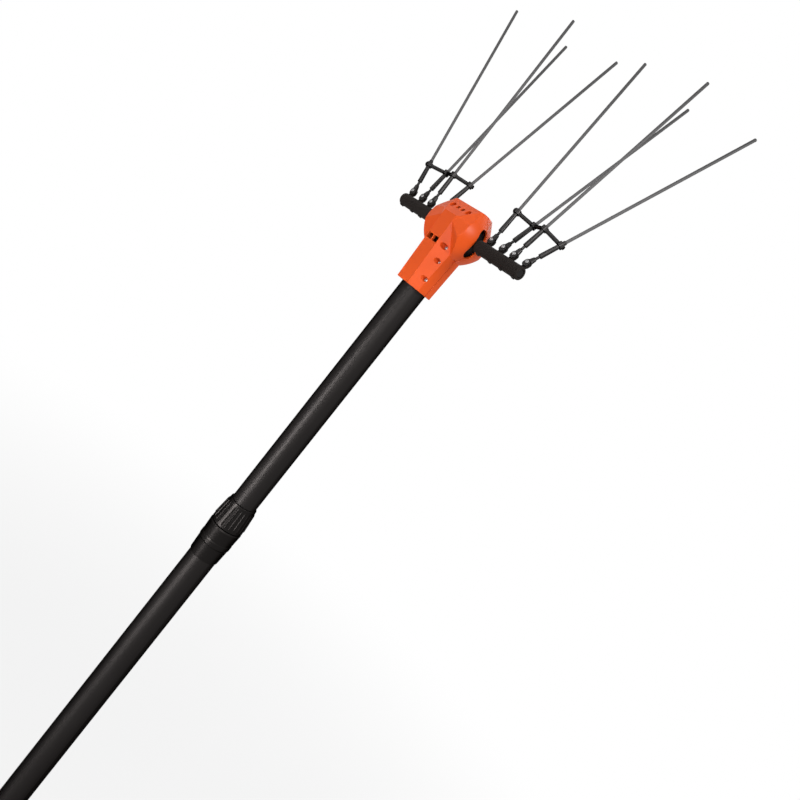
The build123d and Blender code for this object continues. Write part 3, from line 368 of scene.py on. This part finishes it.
@dataclass(frozen=True)
class Moulding:
    """Injection-moulded plastic: eroded grain, faint flow marks, and edges rubbed paler; depths in metres.

    A black one that shines without a pale rim is a dark mirror: its colours are what it reflects head on,
    and its rim colour is what it reflects at a glance; a dark rim is painted shade along its edges.
    """

    name: str
    colour: Colour
    flow: Colour
    rubbed: Colour
    roughness: float
    shine: float
    mirror: float = 0.0
    rim: Colour = WHITE
    rub: float = 0.3
    edge_radius: float = 0.0006
    edge_from: float = 0.06
    edge_to: float = 0.45
    grain: Marks = Marks(2200.0, detail=2.0)
    grain_depth: float = 0.000004
    flow_marks: Marks = Marks(26.0, detail=2.0, low=0.35, high=0.72)
    flow_share: float = 0.6
    scuffs: Marks = Marks(420.0, detail=4.0, rough=0.7, stretch=(1.0, 1.0, 0.3), low=0.58, high=0.74)
    wear: Marks = Marks(160.0, low=0.2, high=0.75)
    dulled: float = 0.05
    polished: float = 0.04

    def material(self) -> bpy.types.Material:
        """Make this finish.

        Returns:
            Its material.
        """
        graph = Graph.of_material(self.name)
        flow = self.flow_marks.mask(graph)
        scuffs = self.scuffs.mask(graph)
        normal, edge = graph.edges(self.edge_radius)
        worn = edge.between(self.edge_from, self.edge_to) * self.wear.mask(graph)
        colour = graph.mix(flow * self.flow_share, self.colour, self.flow)
        return graph.surface(
            {
                "Base Color": graph.mix(worn * self.rub, colour, self.rubbed),
                "Roughness": self.roughness + (flow + scuffs) * self.dulled - worn * self.polished,
                "Normal": graph.bump(self.grain.noise(graph), self.grain_depth, normal),
                "Specular IOR Level": self.shine,
                "Metallic": self.mirror,
                "Specular Tint": (*self.rim, 1.0),
            }
        )


@dataclass(frozen=True)
class AnodisedTube:
    """Drawn aluminium tube, anodised black, with draw lines along it and a little rubbed dust.

    The rim colour is painted shade: it darkens what the tube reflects at a glance, so it is darker than a
    bare metal's.
    """

    name: str
    colour: Colour
    dust: Colour
    rim: Colour
    roughness: float
    lines: Marks = Marks(900.0, detail=4.0, rough=0.65, stretch=(1.0, 1.0, 0.012), low=0.5, high=0.8)
    line_depth: float = 0.000006
    line_share: float = 0.6
    line_dust: float = 0.2
    line_dulls: float = 0.12
    cloud: Marks = Marks(22.0, stretch=(1.0, 1.0, 0.25), low=0.4, high=0.8)
    cloud_dust: float = 0.35
    cloud_dulls: float = 0.05
    grain: Marks = Marks(2600.0, detail=1.0)

    def material(self) -> bpy.types.Material:
        """Make this finish.

        Returns:
            Its material.
        """
        graph = Graph.of_material(self.name)
        lines = self.lines.noise(graph)
        cloud = self.cloud.mask(graph)
        dusty = cloud * self.cloud_dust + self.lines.faded(lines) * self.line_dust
        relief = lines * self.line_share + self.grain.noise(graph) * (1.0 - self.line_share)
        return graph.surface(
            {
                "Base Color": graph.mix(dusty, self.colour, self.dust),
                "Metallic": 1.0,
                "Roughness": self.roughness + (lines - MIDDLE) * self.line_dulls + cloud * self.cloud_dulls,
                "Normal": graph.bump(relief, self.line_depth),
                "Specular Tint": (*self.rim, 1.0),
            }
        )


@dataclass(frozen=True)
class CarbonRod:
    """Pultruded carbon rod, ground round: fibre streaks along it, and painted shade darkening its outer end.

    The rod's line is given by a direction, a point at its lower end and its length. The painted shade starts
    and ends at shares of that length.
    """

    name: str
    along: Vector
    through: Vector
    length: float
    fibre: Colour = (0.130, 0.126, 0.127)
    resin: Colour = (0.095, 0.092, 0.093)
    # painted shade: the colour that the rod darkens to towards its outer end
    stain: Colour = (0.050, 0.049, 0.049)
    stain_from: float = 0.25
    stain_to: float = 1.05
    stain_least: float = 0.7
    streaks: Marks = Marks(2600.0, rough=0.6, low=0.3, high=0.7)
    streak_squeeze: float = 0.02
    streak_depth: float = 0.000004
    streak_dulls: float = 0.14
    patches: Marks = Marks(500.0, detail=2.0, low=0.35, high=0.7)
    patch_dulls: float = 0.08
    roughness: float = 0.4
    shine: float = 0.3

    def material(self) -> bpy.types.Material:
        """Make this finish, with its streaks along the rod.

        Returns:
            Its material.
        """
        graph = Graph.of_material(self.name)
        start = graph.vector("SUBTRACT", graph.place(), tuple(self.through))
        distance = graph.vector("DOT_PRODUCT", start, tuple(self.along), "Value")
        run = graph.scaled(tuple(self.along), distance)
        across = graph.vector("SUBTRACT", start, run)
        drawn = graph.vector("ADD", across, graph.scaled(run, self.streak_squeeze))
        streak = self.streaks.noise(graph, drawn)
        patch = self.patches.mask(graph, drawn)
        # painted shade: darker towards the rod's outer end, broken up by the patches
        outer = distance.between(self.length * self.stain_from, self.length * self.stain_to)
        tip_shaded = outer * (self.stain_least + patch * (1.0 - self.stain_least))
        clean = graph.mix(self.streaks.faded(streak), self.resin, self.fibre)
        return graph.surface(
            {
                "Base Color": graph.mix(tip_shaded, clean, self.stain),
                "Roughness": self.roughness + streak * self.streak_dulls + patch * self.patch_dulls,
                "Normal": graph.bump(streak, self.streak_depth),
                "Specular IOR Level": self.shine,
            }
        )


@dataclass(frozen=True)
class Metal:
    """Plain or plated metal with fine scratches and duller patches."""

    name: str
    colour: Colour
    tarnish: Colour
    roughness: float
    edge_radius: float = 0.0002
    edge_from: float = 0.05
    edge_to: float = 0.4
    polished: float = 0.08
    scratches: Marks = Marks(1500.0, rough=0.7, stretch=(1.0, 6.0, 1.0))
    scratch_depth: float = 0.000006
    scratch_dulls: float = 0.1
    patches: Marks = Marks(320.0, low=0.42, high=0.7)
    patch_share: float = 0.6
    patch_dulls: float = 0.14

    def material(self) -> bpy.types.Material:
        """Make this finish.

        Returns:
            Its material.
        """
        graph = Graph.of_material(self.name)
        scratch = self.scratches.noise(graph)
        patch = self.patches.mask(graph)
        normal, edge = graph.edges(self.edge_radius)
        polish = edge.between(self.edge_from, self.edge_to) * self.polished
        dull = patch * self.patch_dulls + (scratch - MIDDLE) * self.scratch_dulls
        return graph.surface(
            {
                "Base Color": graph.mix(patch * self.patch_share, self.colour, self.tarnish),
                "Metallic": 1.0,
                "Roughness": self.roughness + dull - polish,
                "Normal": graph.bump(scratch, self.scratch_depth, normal),
            }
        )


@dataclass(frozen=True)
class Rubber:
    """Soft black rubber with a dull bloom, chalky along its edges."""

    name: str
    colour: Colour
    bloom: Colour
    roughness: float
    shine: float = 0.15
    edge_radius: float = 0.0005
    edge_from: float = 0.06
    edge_to: float = 0.45
    edge_share: float = 0.2
    bloom_marks: Marks = Marks(90.0, detail=4.0, rough=0.65, low=0.4, high=0.75)
    bloom_share: float = 0.5
    bloom_dulls: float = 0.12
    pores: Marks = Marks(2200.0, detail=2.0)
    pore_depth: float = 0.000015

    def material(self) -> bpy.types.Material:
        """Make this finish.

        Returns:
            Its material.
        """
        graph = Graph.of_material(self.name)
        bloom = self.bloom_marks.mask(graph)
        normal, edge = graph.edges(self.edge_radius)
        chalky = bloom * self.bloom_share + edge.between(self.edge_from, self.edge_to) * self.edge_share
        return graph.surface(
            {
                "Base Color": graph.mix(chalky, self.colour, self.bloom),
                "Roughness": self.roughness + bloom * self.bloom_dulls,
                "Normal": graph.bump(self.pores.noise(graph), self.pore_depth, normal),
                "Specular IOR Level": self.shine,
            }
        )


class Finishes:
    """The finishes that the sub-assemblies use, each made once."""

    def __init__(self) -> None:
        """Make the shared materials."""
        self.orange = Moulding(
            name="orange_shell",
            colour=(0.77, 0.091, 0.0105),
            flow=(0.71, 0.080, 0.009),
            rubbed=(0.83, 0.15, 0.035),
            roughness=0.33,
            shine=0.2,
            rub=0.12,
        ).material()
        self.bar_black = Moulding(
            name="matt_black_bar",
            colour=(0.0185, 0.0150, 0.0135),
            flow=(0.0150, 0.0120, 0.0108),
            rubbed=(0.040, 0.036, 0.034),
            roughness=0.62,
            shine=0.06,
        ).material()
        self.black = Moulding(
            name="satin_black_moulding",
            colour=(0.0330, 0.0313, 0.0309),
            flow=(0.0280, 0.0266, 0.0263),
            rubbed=(0.060, 0.058, 0.057),
            roughness=0.28,
            shine=0.5,
            mirror=1.0,
            # painted shade along the edges
            rim=PAINTED_SHADE_RIM,
            edge_radius=0.0004,
        ).material()
        self.collar = Moulding(
            name="collar_moulding",
            colour=(0.0150, 0.0136, 0.0131),
            flow=(0.0128, 0.0116, 0.0112),
            rubbed=(0.032, 0.030, 0.029),
            roughness=0.33,
            shine=0.5,
            mirror=1.0,
            # painted shade along the edges
            rim=PAINTED_SHADE_RIM,
        ).material()
        self.acetal = Moulding(
            name="natural_acetal",
            colour=(0.62, 0.60, 0.54),
            flow=(0.55, 0.53, 0.47),
            rubbed=(0.70, 0.69, 0.64),
            roughness=0.4,
            shine=0.4,
        ).material()
        self.switch_red = Moulding(
            name="switch_red",
            colour=(0.42, 0.012, 0.010),
            flow=(0.36, 0.010, 0.008),
            rubbed=(0.50, 0.05, 0.04),
            roughness=0.24,
            shine=0.5,
        ).material()
        self.pole = AnodisedTube(
            name="anodised_pole",
            colour=(0.0200, 0.0182, 0.0177),
            dust=(0.0270, 0.0248, 0.0241),
            # painted shade along the tube's edges
            rim=PAINTED_SHADE_RIM,
            roughness=0.42,
        ).material()
        self.zinc = Metal("zinc_steel", (0.62, 0.62, 0.64), (0.36, 0.36, 0.37), 0.3).material()
        self.dull_steel = Metal("dull_steel", (0.32, 0.315, 0.315), (0.17, 0.167, 0.167), 0.36).material()
        self.cast = Metal("cast_metal", (0.5, 0.5, 0.52), (0.32, 0.32, 0.33), 0.45).material()
        self.bronze = Metal("sintered_bronze", (0.55, 0.34, 0.13), (0.33, 0.2, 0.08), 0.4).material()
        self.ferrite = Metal("ferrite", (0.07, 0.07, 0.075), (0.04, 0.04, 0.042), 0.55).material()
        self.rubber = Rubber("black_rubber", (0.010, 0.0095, 0.0092), (0.024, 0.023, 0.0225), 0.62).material()


# Turned meshes


@dataclass(frozen=True)
class Flutes:
    """Soft ribs round a turned piece, between two heights, in millimetres; a higher crest is narrower."""

    count: int
    rise: float
    low: float
    high: float
    run_out: float
    crest: float

    def lift(self, angle: float, height: float) -> float:
        """How far the surface stands out.

        Args:
            angle: place round the piece, in radians.
            height: place along the piece.

        Returns:
            The rise there.
        """
        ends = min(height - self.low, self.high - height) / self.run_out
        crest = max(0.0, math.cos(self.count * angle)) ** self.crest
        return self.rise * crest * min(1.0, max(0.0, ends))


@dataclass(frozen=True)
class Lathe:
    """Turns closed profiles of (radius, height) corners in millimetres into one smooth mesh."""

    name: str
    steps: int
    sharp_angle: float = 38.0
    weld: float = 1e-7

    def turn(
        self,
        shape: bmesh.types.BMesh,
        profile: Sequence[Corner],
        place: Sequence[float] = (0.0, 0.0, 0.0),
        axis: Sequence[float] = (0.0, 0.0, 1.0),
        flutes: Optional[Flutes] = None,
        fluted: int = 0,
    ) -> None:
        """Turn one closed profile.

        Args:
            shape: the mesh that it goes into.
            profile: its corners, in order.
            place: the axis's starting point, in metres.
            axis: the direction that heights run in.
            flutes: ribs on the outside, if it has any.
            fluted: how many of the first corners the ribs stand on.
        """
        turn = Vector(axis).to_track_quat("Z", "Y").to_matrix()
        rows = []
        for step in range(self.steps):
            angle = 2.0 * math.pi * step / self.steps
            row = []
            for corner, (radius, height) in enumerate(profile):
                if flutes is not None and corner < fluted:
                    radius += flutes.lift(angle, height)
                point = Vector((radius * math.cos(angle), radius * math.sin(angle), height)) * MM
                row.append(shape.verts.new(turn @ point + Vector(place)))
            rows.append(row)
        count = len(profile)
        for this, after in zip(rows, rows[1:] + rows[:1]):
            for low in range(count):
                high = (low + 1) % count
                shape.faces.new((this[low], after[low], after[high], this[high]))

    def finish(self, shape: bmesh.types.BMesh, material: bpy.types.Material) -> bpy.types.Object:
        """Close the mesh.

        Args:
            shape: what was turned.
            material: what it is painted with.

        Returns:
            The new object, in the scene.
        """
        bmesh.ops.remove_doubles(shape, verts=shape.verts, dist=self.weld)
        bmesh.ops.recalc_face_normals(shape, faces=shape.faces)
        for face in shape.faces:
            face.smooth = True
        mesh = bpy.data.meshes.new(self.name)
        shape.to_mesh(mesh)
        shape.free()
        mesh.set_sharp_from_angle(angle=math.radians(self.sharp_angle))
        mesh.materials.append(material)
        piece = bpy.data.objects.new(self.name, mesh)
        bpy.context.scene.collection.objects.link(piece)
        return piece


# Sub-assemblies


@dataclass
class Assembly:
    """What every sub-assembly shares: the loaded frame and the finishes that it takes."""

    frame: Mapping[str, Any]
    finishes: Finishes

    def node(self, name: str) -> bpy.types.Object:
        """A CAD node's object."""
        return self.frame["nodes"][name]

    def paint(self, names: Iterable[str], material: bpy.types.Material) -> None:
        """Give CAD nodes one material.

        Args:
            names: the nodes.
            material: what they get.
        """
        for name in names:
            mesh = self.node(name).data
            mesh.materials.clear()
            mesh.materials.append(material)
            LOG.info("%s: %s", name, material.name)

    def stand_in(self, piece: bpy.types.Object, node: str, slot: Slot) -> None:
        """Let a new piece stand for a CAD node, on the node's own body.

        Args:
            piece: the new piece.
            node: the CAD node that it replaces.
            slot: the record's slot for its finish; not used.
        """
        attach(piece, body_of(self.node(node))[0])
        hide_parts(node)
        LOG.info("%s stands for %s", piece.name, node)

    def dress(self) -> None:
        """Build and paint this sub-assembly."""
        raise NotImplementedError


@dataclass
class Pole(Assembly):
    """Both tubes, and the twist collar that joins them; sizes in millimetres."""

    nut_low: float = 787.6
    nut_length: float = 37.4
    nut_base: float = 23.4
    nut_top: float = 19.8
    nut_edge: float = 0.6
    nut_bore: float = 19.9
    throat: float = 18.4
    throat_low: float = 21.6
    flutes: Flutes = Flutes(count=24, rise=0.9, low=3.6, high=33.0, run_out=1.6, crest=6.0)
    flute_steps: int = 20
    rows: int = 30

    def build_nut(self) -> bpy.types.Object:
        """Turn the twist nut, a cone with soft flutes between two plain rims.

        Returns:
            The nut.
        """
        slope = (self.nut_base - self.nut_top) / self.nut_length
        profile = [(self.nut_base - self.nut_edge, 0.0)]
        for row in range(self.rows + 1):
            height = self.nut_edge + (self.nut_length - 2.0 * self.nut_edge) * row / self.rows
            profile.append((self.nut_base - slope * height, height))
        outside = len(profile)
        profile.append((self.nut_top - self.nut_edge, self.nut_length))
        profile.append((self.throat, self.nut_length))
        profile.append((self.throat, self.throat_low))
        profile.append((self.nut_bore, self.throat_low))
        profile.append((self.nut_bore, 0.0))
        lathe = Lathe("fluted_nut", self.flutes.count * self.flute_steps)
        shape = bmesh.new()
        lathe.turn(shape, profile, (0.0, 0.0, self.nut_low * MM), flutes=self.flutes, fluted=outside)
        return lathe.finish(shape, self.finishes.collar)

    def dress(self) -> None:
        """Build the nut, and paint the tubes and the collar."""
        self.stand_in(self.build_nut(), "twist_nut", Slot.BLACK_PLASTIC)
        self.paint(("outer_tube", "inner_tube"), self.finishes.pole)
        self.paint(("collar_body",), self.finishes.collar)
        self.paint(("clamp_ring", "slide_bush"), self.finishes.acetal)


@dataclass
class Handle(Assembly):
    """Grip, end cap, cord gland and switch box at the pole's foot; sizes in millimetres."""

    grip_half: float = 75.0
    grip_r: float = 23.0
    grip_bore: float = 20.05
    grip_edge: float = 2.0
    rib_pitch: float = 5.6
    rib_depth: float = 1.1
    ribs: int = 22
    rib_rows: int = 6
    edge_rows: int = 4
    steps: int = 72

    def build_grip(self) -> bpy.types.Object:
        """Turn the rubber grip sleeve, ringed with soft ribs between two plain ends.

        Returns:
            The sleeve.
        """
        low = -self.grip_half
        profile = [(self.grip_r, low)]
        first = -self.ribs * self.rib_pitch / 2.0
        for row in range(self.ribs * self.rib_rows + 1):
            turns = row / self.rib_rows
            dip = (1.0 - math.cos(2.0 * math.pi * turns)) / 2.0
            profile.append((self.grip_r - self.rib_depth * dip, first + self.rib_pitch * turns))
        for row in range(self.edge_rows + 1):
            angle = math.pi / 2.0 * row / self.edge_rows
            radius = self.grip_r - self.grip_edge * (1.0 - math.cos(angle))
            profile.append((radius, self.grip_half - self.grip_edge * (1.0 - math.sin(angle))))
        profile.append((self.grip_bore, self.grip_half))
        profile.append((self.grip_bore, low))
        lathe = Lathe("ribbed_grip", self.steps)
        shape = bmesh.new()
        lathe.turn(shape, profile)
        return lathe.finish(shape, self.finishes.rubber)

    def dress(self) -> None:
        """Build the grip, and paint the handle's other pieces."""
        self.stand_in(self.build_grip(), "grip_sleeve", Slot.GRIP)
        self.paint(("cord_gland",), self.finishes.rubber)
        self.paint(("end_cap", "switch_housing_front", "switch_housing_rear"), self.finishes.collar)
        self.paint(("switch_body",), self.finishes.black)
        self.paint(("switch_rocker",), self.finishes.switch_red)
        self.paint(("switch_housing_screws",), self.finishes.zinc)


@dataclass
class MotorHead(Assembly):
    """The orange head shells, their screws, and the drive inside."""

    def dress(self) -> None:
        """Paint the shells and the drive."""
        self.paint(("front_shell", "rear_shell"), self.finishes.orange)
        self.paint(("shell_screws", "plate_screws", "pivot_pins"), self.finishes.zinc)
        self.paint(("crank_pin", "armature"), self.finishes.zinc)
        self.paint(("motor_pinion", "crank_gear", "motor_can", "gear_plate"), self.finishes.cast)
        self.paint(("crank_roller", "crank_bearing"), self.finishes.bronze)
        self.paint(("motor_magnets",), self.finishes.ferrite)
        self.paint(("motor_end_cap",), self.finishes.black)


@dataclass
class Rake(Assembly):
    """One rake: bar, tine holders, carbon rods, rivets and cross-link; sizes in millimetres.

    A rivet head is dished, and its corners are (radius, height over its seat).
    """

    side: Side = Side.RIGHT
    tines: int = 4
    rivet_seat: float = 3.4
    rivet_head: tuple[Corner, ...] = (
        (0.0, 0.4),
        (1.1, 0.4),
        (1.35, 0.8),
        (1.7, 0.9),
        (2.2, 0.7),
        (2.4, 0.4),
        (2.4, 0.0),
        (0.0, 0.0),
    )
    shank_r: float = 1.5
    steps: int = 28
    rod_end: float = 0.05

    def rod_axis(self, node: str) -> tuple[Vector, Vector, float]:
        """The line of a carbon rod.

        Args:
            node: the rod's CAD node.

        Returns:
            Its unit direction, the middle of its lower end, and its length in metres.
        """
        points = [v.co for v in self.node(node).data.vertices]
        low = min(p.z for p in points)
        high = max(p.z for p in points)
        span = (high - low) * self.rod_end
        ends = []
        for near in (low, high):
            group = [p for p in points if abs(p.z - near) < span]
            ends.append(sum(group, Vector()) / len(group))
        run = ends[1] - ends[0]
        return run.normalized(), ends[0], run.length

    def build_rivets(self) -> bpy.types.Object:
        """Turn a dished rivet through each tine's knuckle, on the axis that the tine sways about.

        Returns:
            The rivets of this rake.
        """
        seat = self.rivet_seat
        head = [(radius, seat + height) for radius, height in self.rivet_head]
        shank = [(0.0, -seat), (self.shank_r, -seat), (self.shank_r, seat), (0.0, seat)]
        lathe = Lathe(f"{self.side.word}_rivets", self.steps)
        shape = bmesh.new()
        for joint in self.frame["record"]["behaviour"]["joints"]:
            if joint["name"].startswith(f"{self.side.word}_sway_"):
                for turn in (-1.0, 1.0):
                    lathe.turn(shape, head, joint["pos_m"], [turn * part for part in joint["axis"]])
                lathe.turn(shape, shank, joint["pos_m"], joint["axis"])
        return lathe.finish(shape, self.finishes.dull_steel)

    def dress(self) -> None:
        """Build the rivets, and paint the rake's other pieces."""
        word = self.side.word
        numbers = range(1, self.tines + 1)
        self.stand_in(self.build_rivets(), f"{word}_tine_screws", Slot.STEEL)
        self.paint([f"{word}_tine_holder_{n}" for n in numbers], self.finishes.black)
        self.paint((f"{word}_cross_link", f"{word}_bar_plug"), self.finishes.black)
        self.paint((f"{word}_rake_bar", f"{word}_rocker"), self.finishes.bar_black)
        self.paint((f"{word}_slot_shield",), self.finishes.rubber)
        self.paint((f"{word}_pivot_bushes",), self.finishes.bronze)
        for n in numbers:
            node = f"{word}_carbon_rod_{n}"
            finish = CarbonRod(f"{word}_carbon_{n}", *self.rod_axis(node))
            self.paint((node,), finish.material())


# Studio


@dataclass(frozen=True)
class SoftBox:
    """A large soft lamp that looks at one point; metres and watts."""

    name: str
    place: Point
    target: Point
    width: float
    height: float
    watts: float
    spread: float = 180.0

    def build(self) -> None:
        """Hang the lamp, with its beam narrowed where the spread is under 180 degrees."""
        lamp = bpy.data.lights.new(self.name, "AREA")
        lamp.shape = "RECTANGLE"
        lamp.size = self.width
        lamp.size_y = self.height
        lamp.energy = self.watts
        lamp.spread = math.radians(self.spread)
        holder = bpy.data.objects.new(self.name, lamp)
        holder.location = self.place
        aim = Vector(self.target) - Vector(self.place)
        holder.rotation_euler = aim.to_track_quat("-Z", "Y").to_euler()
        bpy.context.scene.collection.objects.link(holder)


@dataclass(frozen=True)
class Camera:
    """The camera at the photograph's place: where it stands, its axes, and its lens in millimetres."""

    place: Point = (0.64988, -0.64356, 1.16820)
    right: Point = (0.54375, 0.56249, 0.62281)
    down: Point = (0.53539, 0.33898, -0.77358)
    lens: float = 32.27
    sensor: float = 36.0
    near: float = 0.01

    def build(self) -> None:
        """Make the camera the scene's own."""
        data = bpy.data.cameras.new("photo_view")
        data.sensor_width = self.sensor
        data.lens = self.lens
        data.clip_start = self.near
        holder = bpy.data.objects.new("photo_view", data)
        right = Vector(self.right).normalized()
        up = -Vector(self.down)
        up = (up - right * up.dot(right)).normalized()
        turn = Matrix((right, up, right.cross(up))).transposed().to_4x4()
        holder.matrix_world = Matrix.Translation(self.place) @ turn
        bpy.context.scene.collection.objects.link(holder)
        bpy.context.scene.camera = holder


@dataclass(frozen=True)
class Studio:
    """Pale floor, white surround and soft lamps; metres.

    The floor shows as white from the clear distance on, and nearer it keeps a share of its own shading.
    """

    floor_radius: float = 7.0
    floor_steps: int = 96
    floor_gap: float = 0.0005
    floor_marks: Marks = Marks(6.0)
    floor_dark: Colour = (0.6, 0.6, 0.6)
    floor_pale: Colour = (0.65, 0.65, 0.65)
    clear_from: float = 0.4
    clear_to: float = 2.6
    clear_share: float = 0.8
    fill: float = 0.18
    lamps: tuple[SoftBox, ...] = (
        SoftBox("key", (1.5, -1.65, 1.75), (0.0, 0.0, 1.2), 1.3, 1.3, 25.0),
        SoftBox("strip", (0.2, -1.5, 0.42), (0.0, 0.0, 0.42), 0.35, 0.96, 5.0, spread=60.0),
        SoftBox("side", (1.55, 0.07, 2.05), (0.0, 0.0, 1.27), 0.44, 0.44, 14.0),
        SoftBox("top", (-0.6, -1.4, 2.45), (0.0, 0.0, 1.28), 0.7, 0.7, 5.0),
        SoftBox("rear", (-0.5, 1.5, 3.0), (0.0, 0.0, 1.0), 1.4, 1.4, 30.0),
    )

    def seen(self, graph: Graph) -> Wire:
        """Tell the rays that show a background: from the camera, from gloss and through glass.

        Args:
            graph: the graph that asks.

        Returns:
            1 for those rays, 0 for the others.
        """
        kinds = ("Camera", "Glossy", "Transmission")
        camera, glossy, through = (graph.node("ShaderNodeLightPath", out=f"Is {kind} Ray") for kind in kinds)
        return graph.maths("MINIMUM", camera + glossy + through, 1.0)

    def floor(self, low: float) -> None:
        """Lay a round floor under the object.

        Args:
            low: the object's lowest height.
        """
        mesh = bpy.data.meshes.new("floor")
        shape = bmesh.new()
        bmesh.ops.create_circle(shape, cap_ends=True, radius=self.floor_radius, segments=self.floor_steps)
        shape.to_mesh(mesh)
        shape.free()
        floor = bpy.data.objects.new("floor", mesh)
        floor.location = (0.0, 0.0, low - self.floor_gap)
        bpy.context.scene.collection.objects.link(floor)
        graph = Graph.of_material("pale_floor")
        pale = graph.mix(self.floor_marks.noise(graph), self.floor_dark, self.floor_pale)
        matt = graph.node("ShaderNodeBsdfDiffuse", None, {"Color": pale})
        white = graph.node("ShaderNodeEmission", None, {"Color": (*WHITE, 1.0), "Strength": 1.0})
        away = graph.vector("LENGTH", graph.place(), (0.0, 0.0, 0.0), "Value")
        far = away.between(self.clear_from, self.clear_to)
        share = self.clear_share + far * (1.0 - self.clear_share)
        both = graph.node("ShaderNodeMixShader", None, {0: self.seen(graph) * share, 1: matt, 2: white})
        mesh.materials.append(graph.close(both))
        floor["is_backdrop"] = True

    def surround(self) -> None:
        """A white world that lights the object at a lower level than it shows."""
        graph = Graph(bpy.data.worlds.new("surround"))
        strength = self.fill + self.seen(graph) * (1.0 - self.fill)
        shade = graph.node("ShaderNodeBackground", None, {"Color": (*WHITE, 1.0), "Strength": strength})
        bpy.context.scene.world = graph.close(shade)

    def build(self, low: float) -> None:
        """Set up the floor, surround, lamps and camera.

        Args:
            low: the object's lowest height.
        """
        self.floor(low)
        self.surround()
        for lamp in self.lamps:
            lamp.build()
        Camera().build()
        bpy.context.scene.view_settings.view_transform = "Standard"


def main() -> None:
    """Load the frame, dress each sub-assembly, and set up the studio."""
    logging.basicConfig(level=logging.INFO, format="%(name)s %(message)s")
    for old in list(bpy.data.objects):
        bpy.data.objects.remove(old)
    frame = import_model()
    cad_box = [list(corner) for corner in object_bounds()]
    lowest = cad_box[0][2]
    finishes = Finishes()
    assemblies: list[Assembly] = [kind(frame, finishes) for kind in (Pole, Handle, MotorHead)]
    assemblies += [Rake(frame, finishes, side) for side in Side]
    for assembly in assemblies:
        assembly.dress()
        LOG.info("%s is dressed", type(assembly).__name__)
    Studio().build(lowest)


if __name__ == "__main__":
    main()
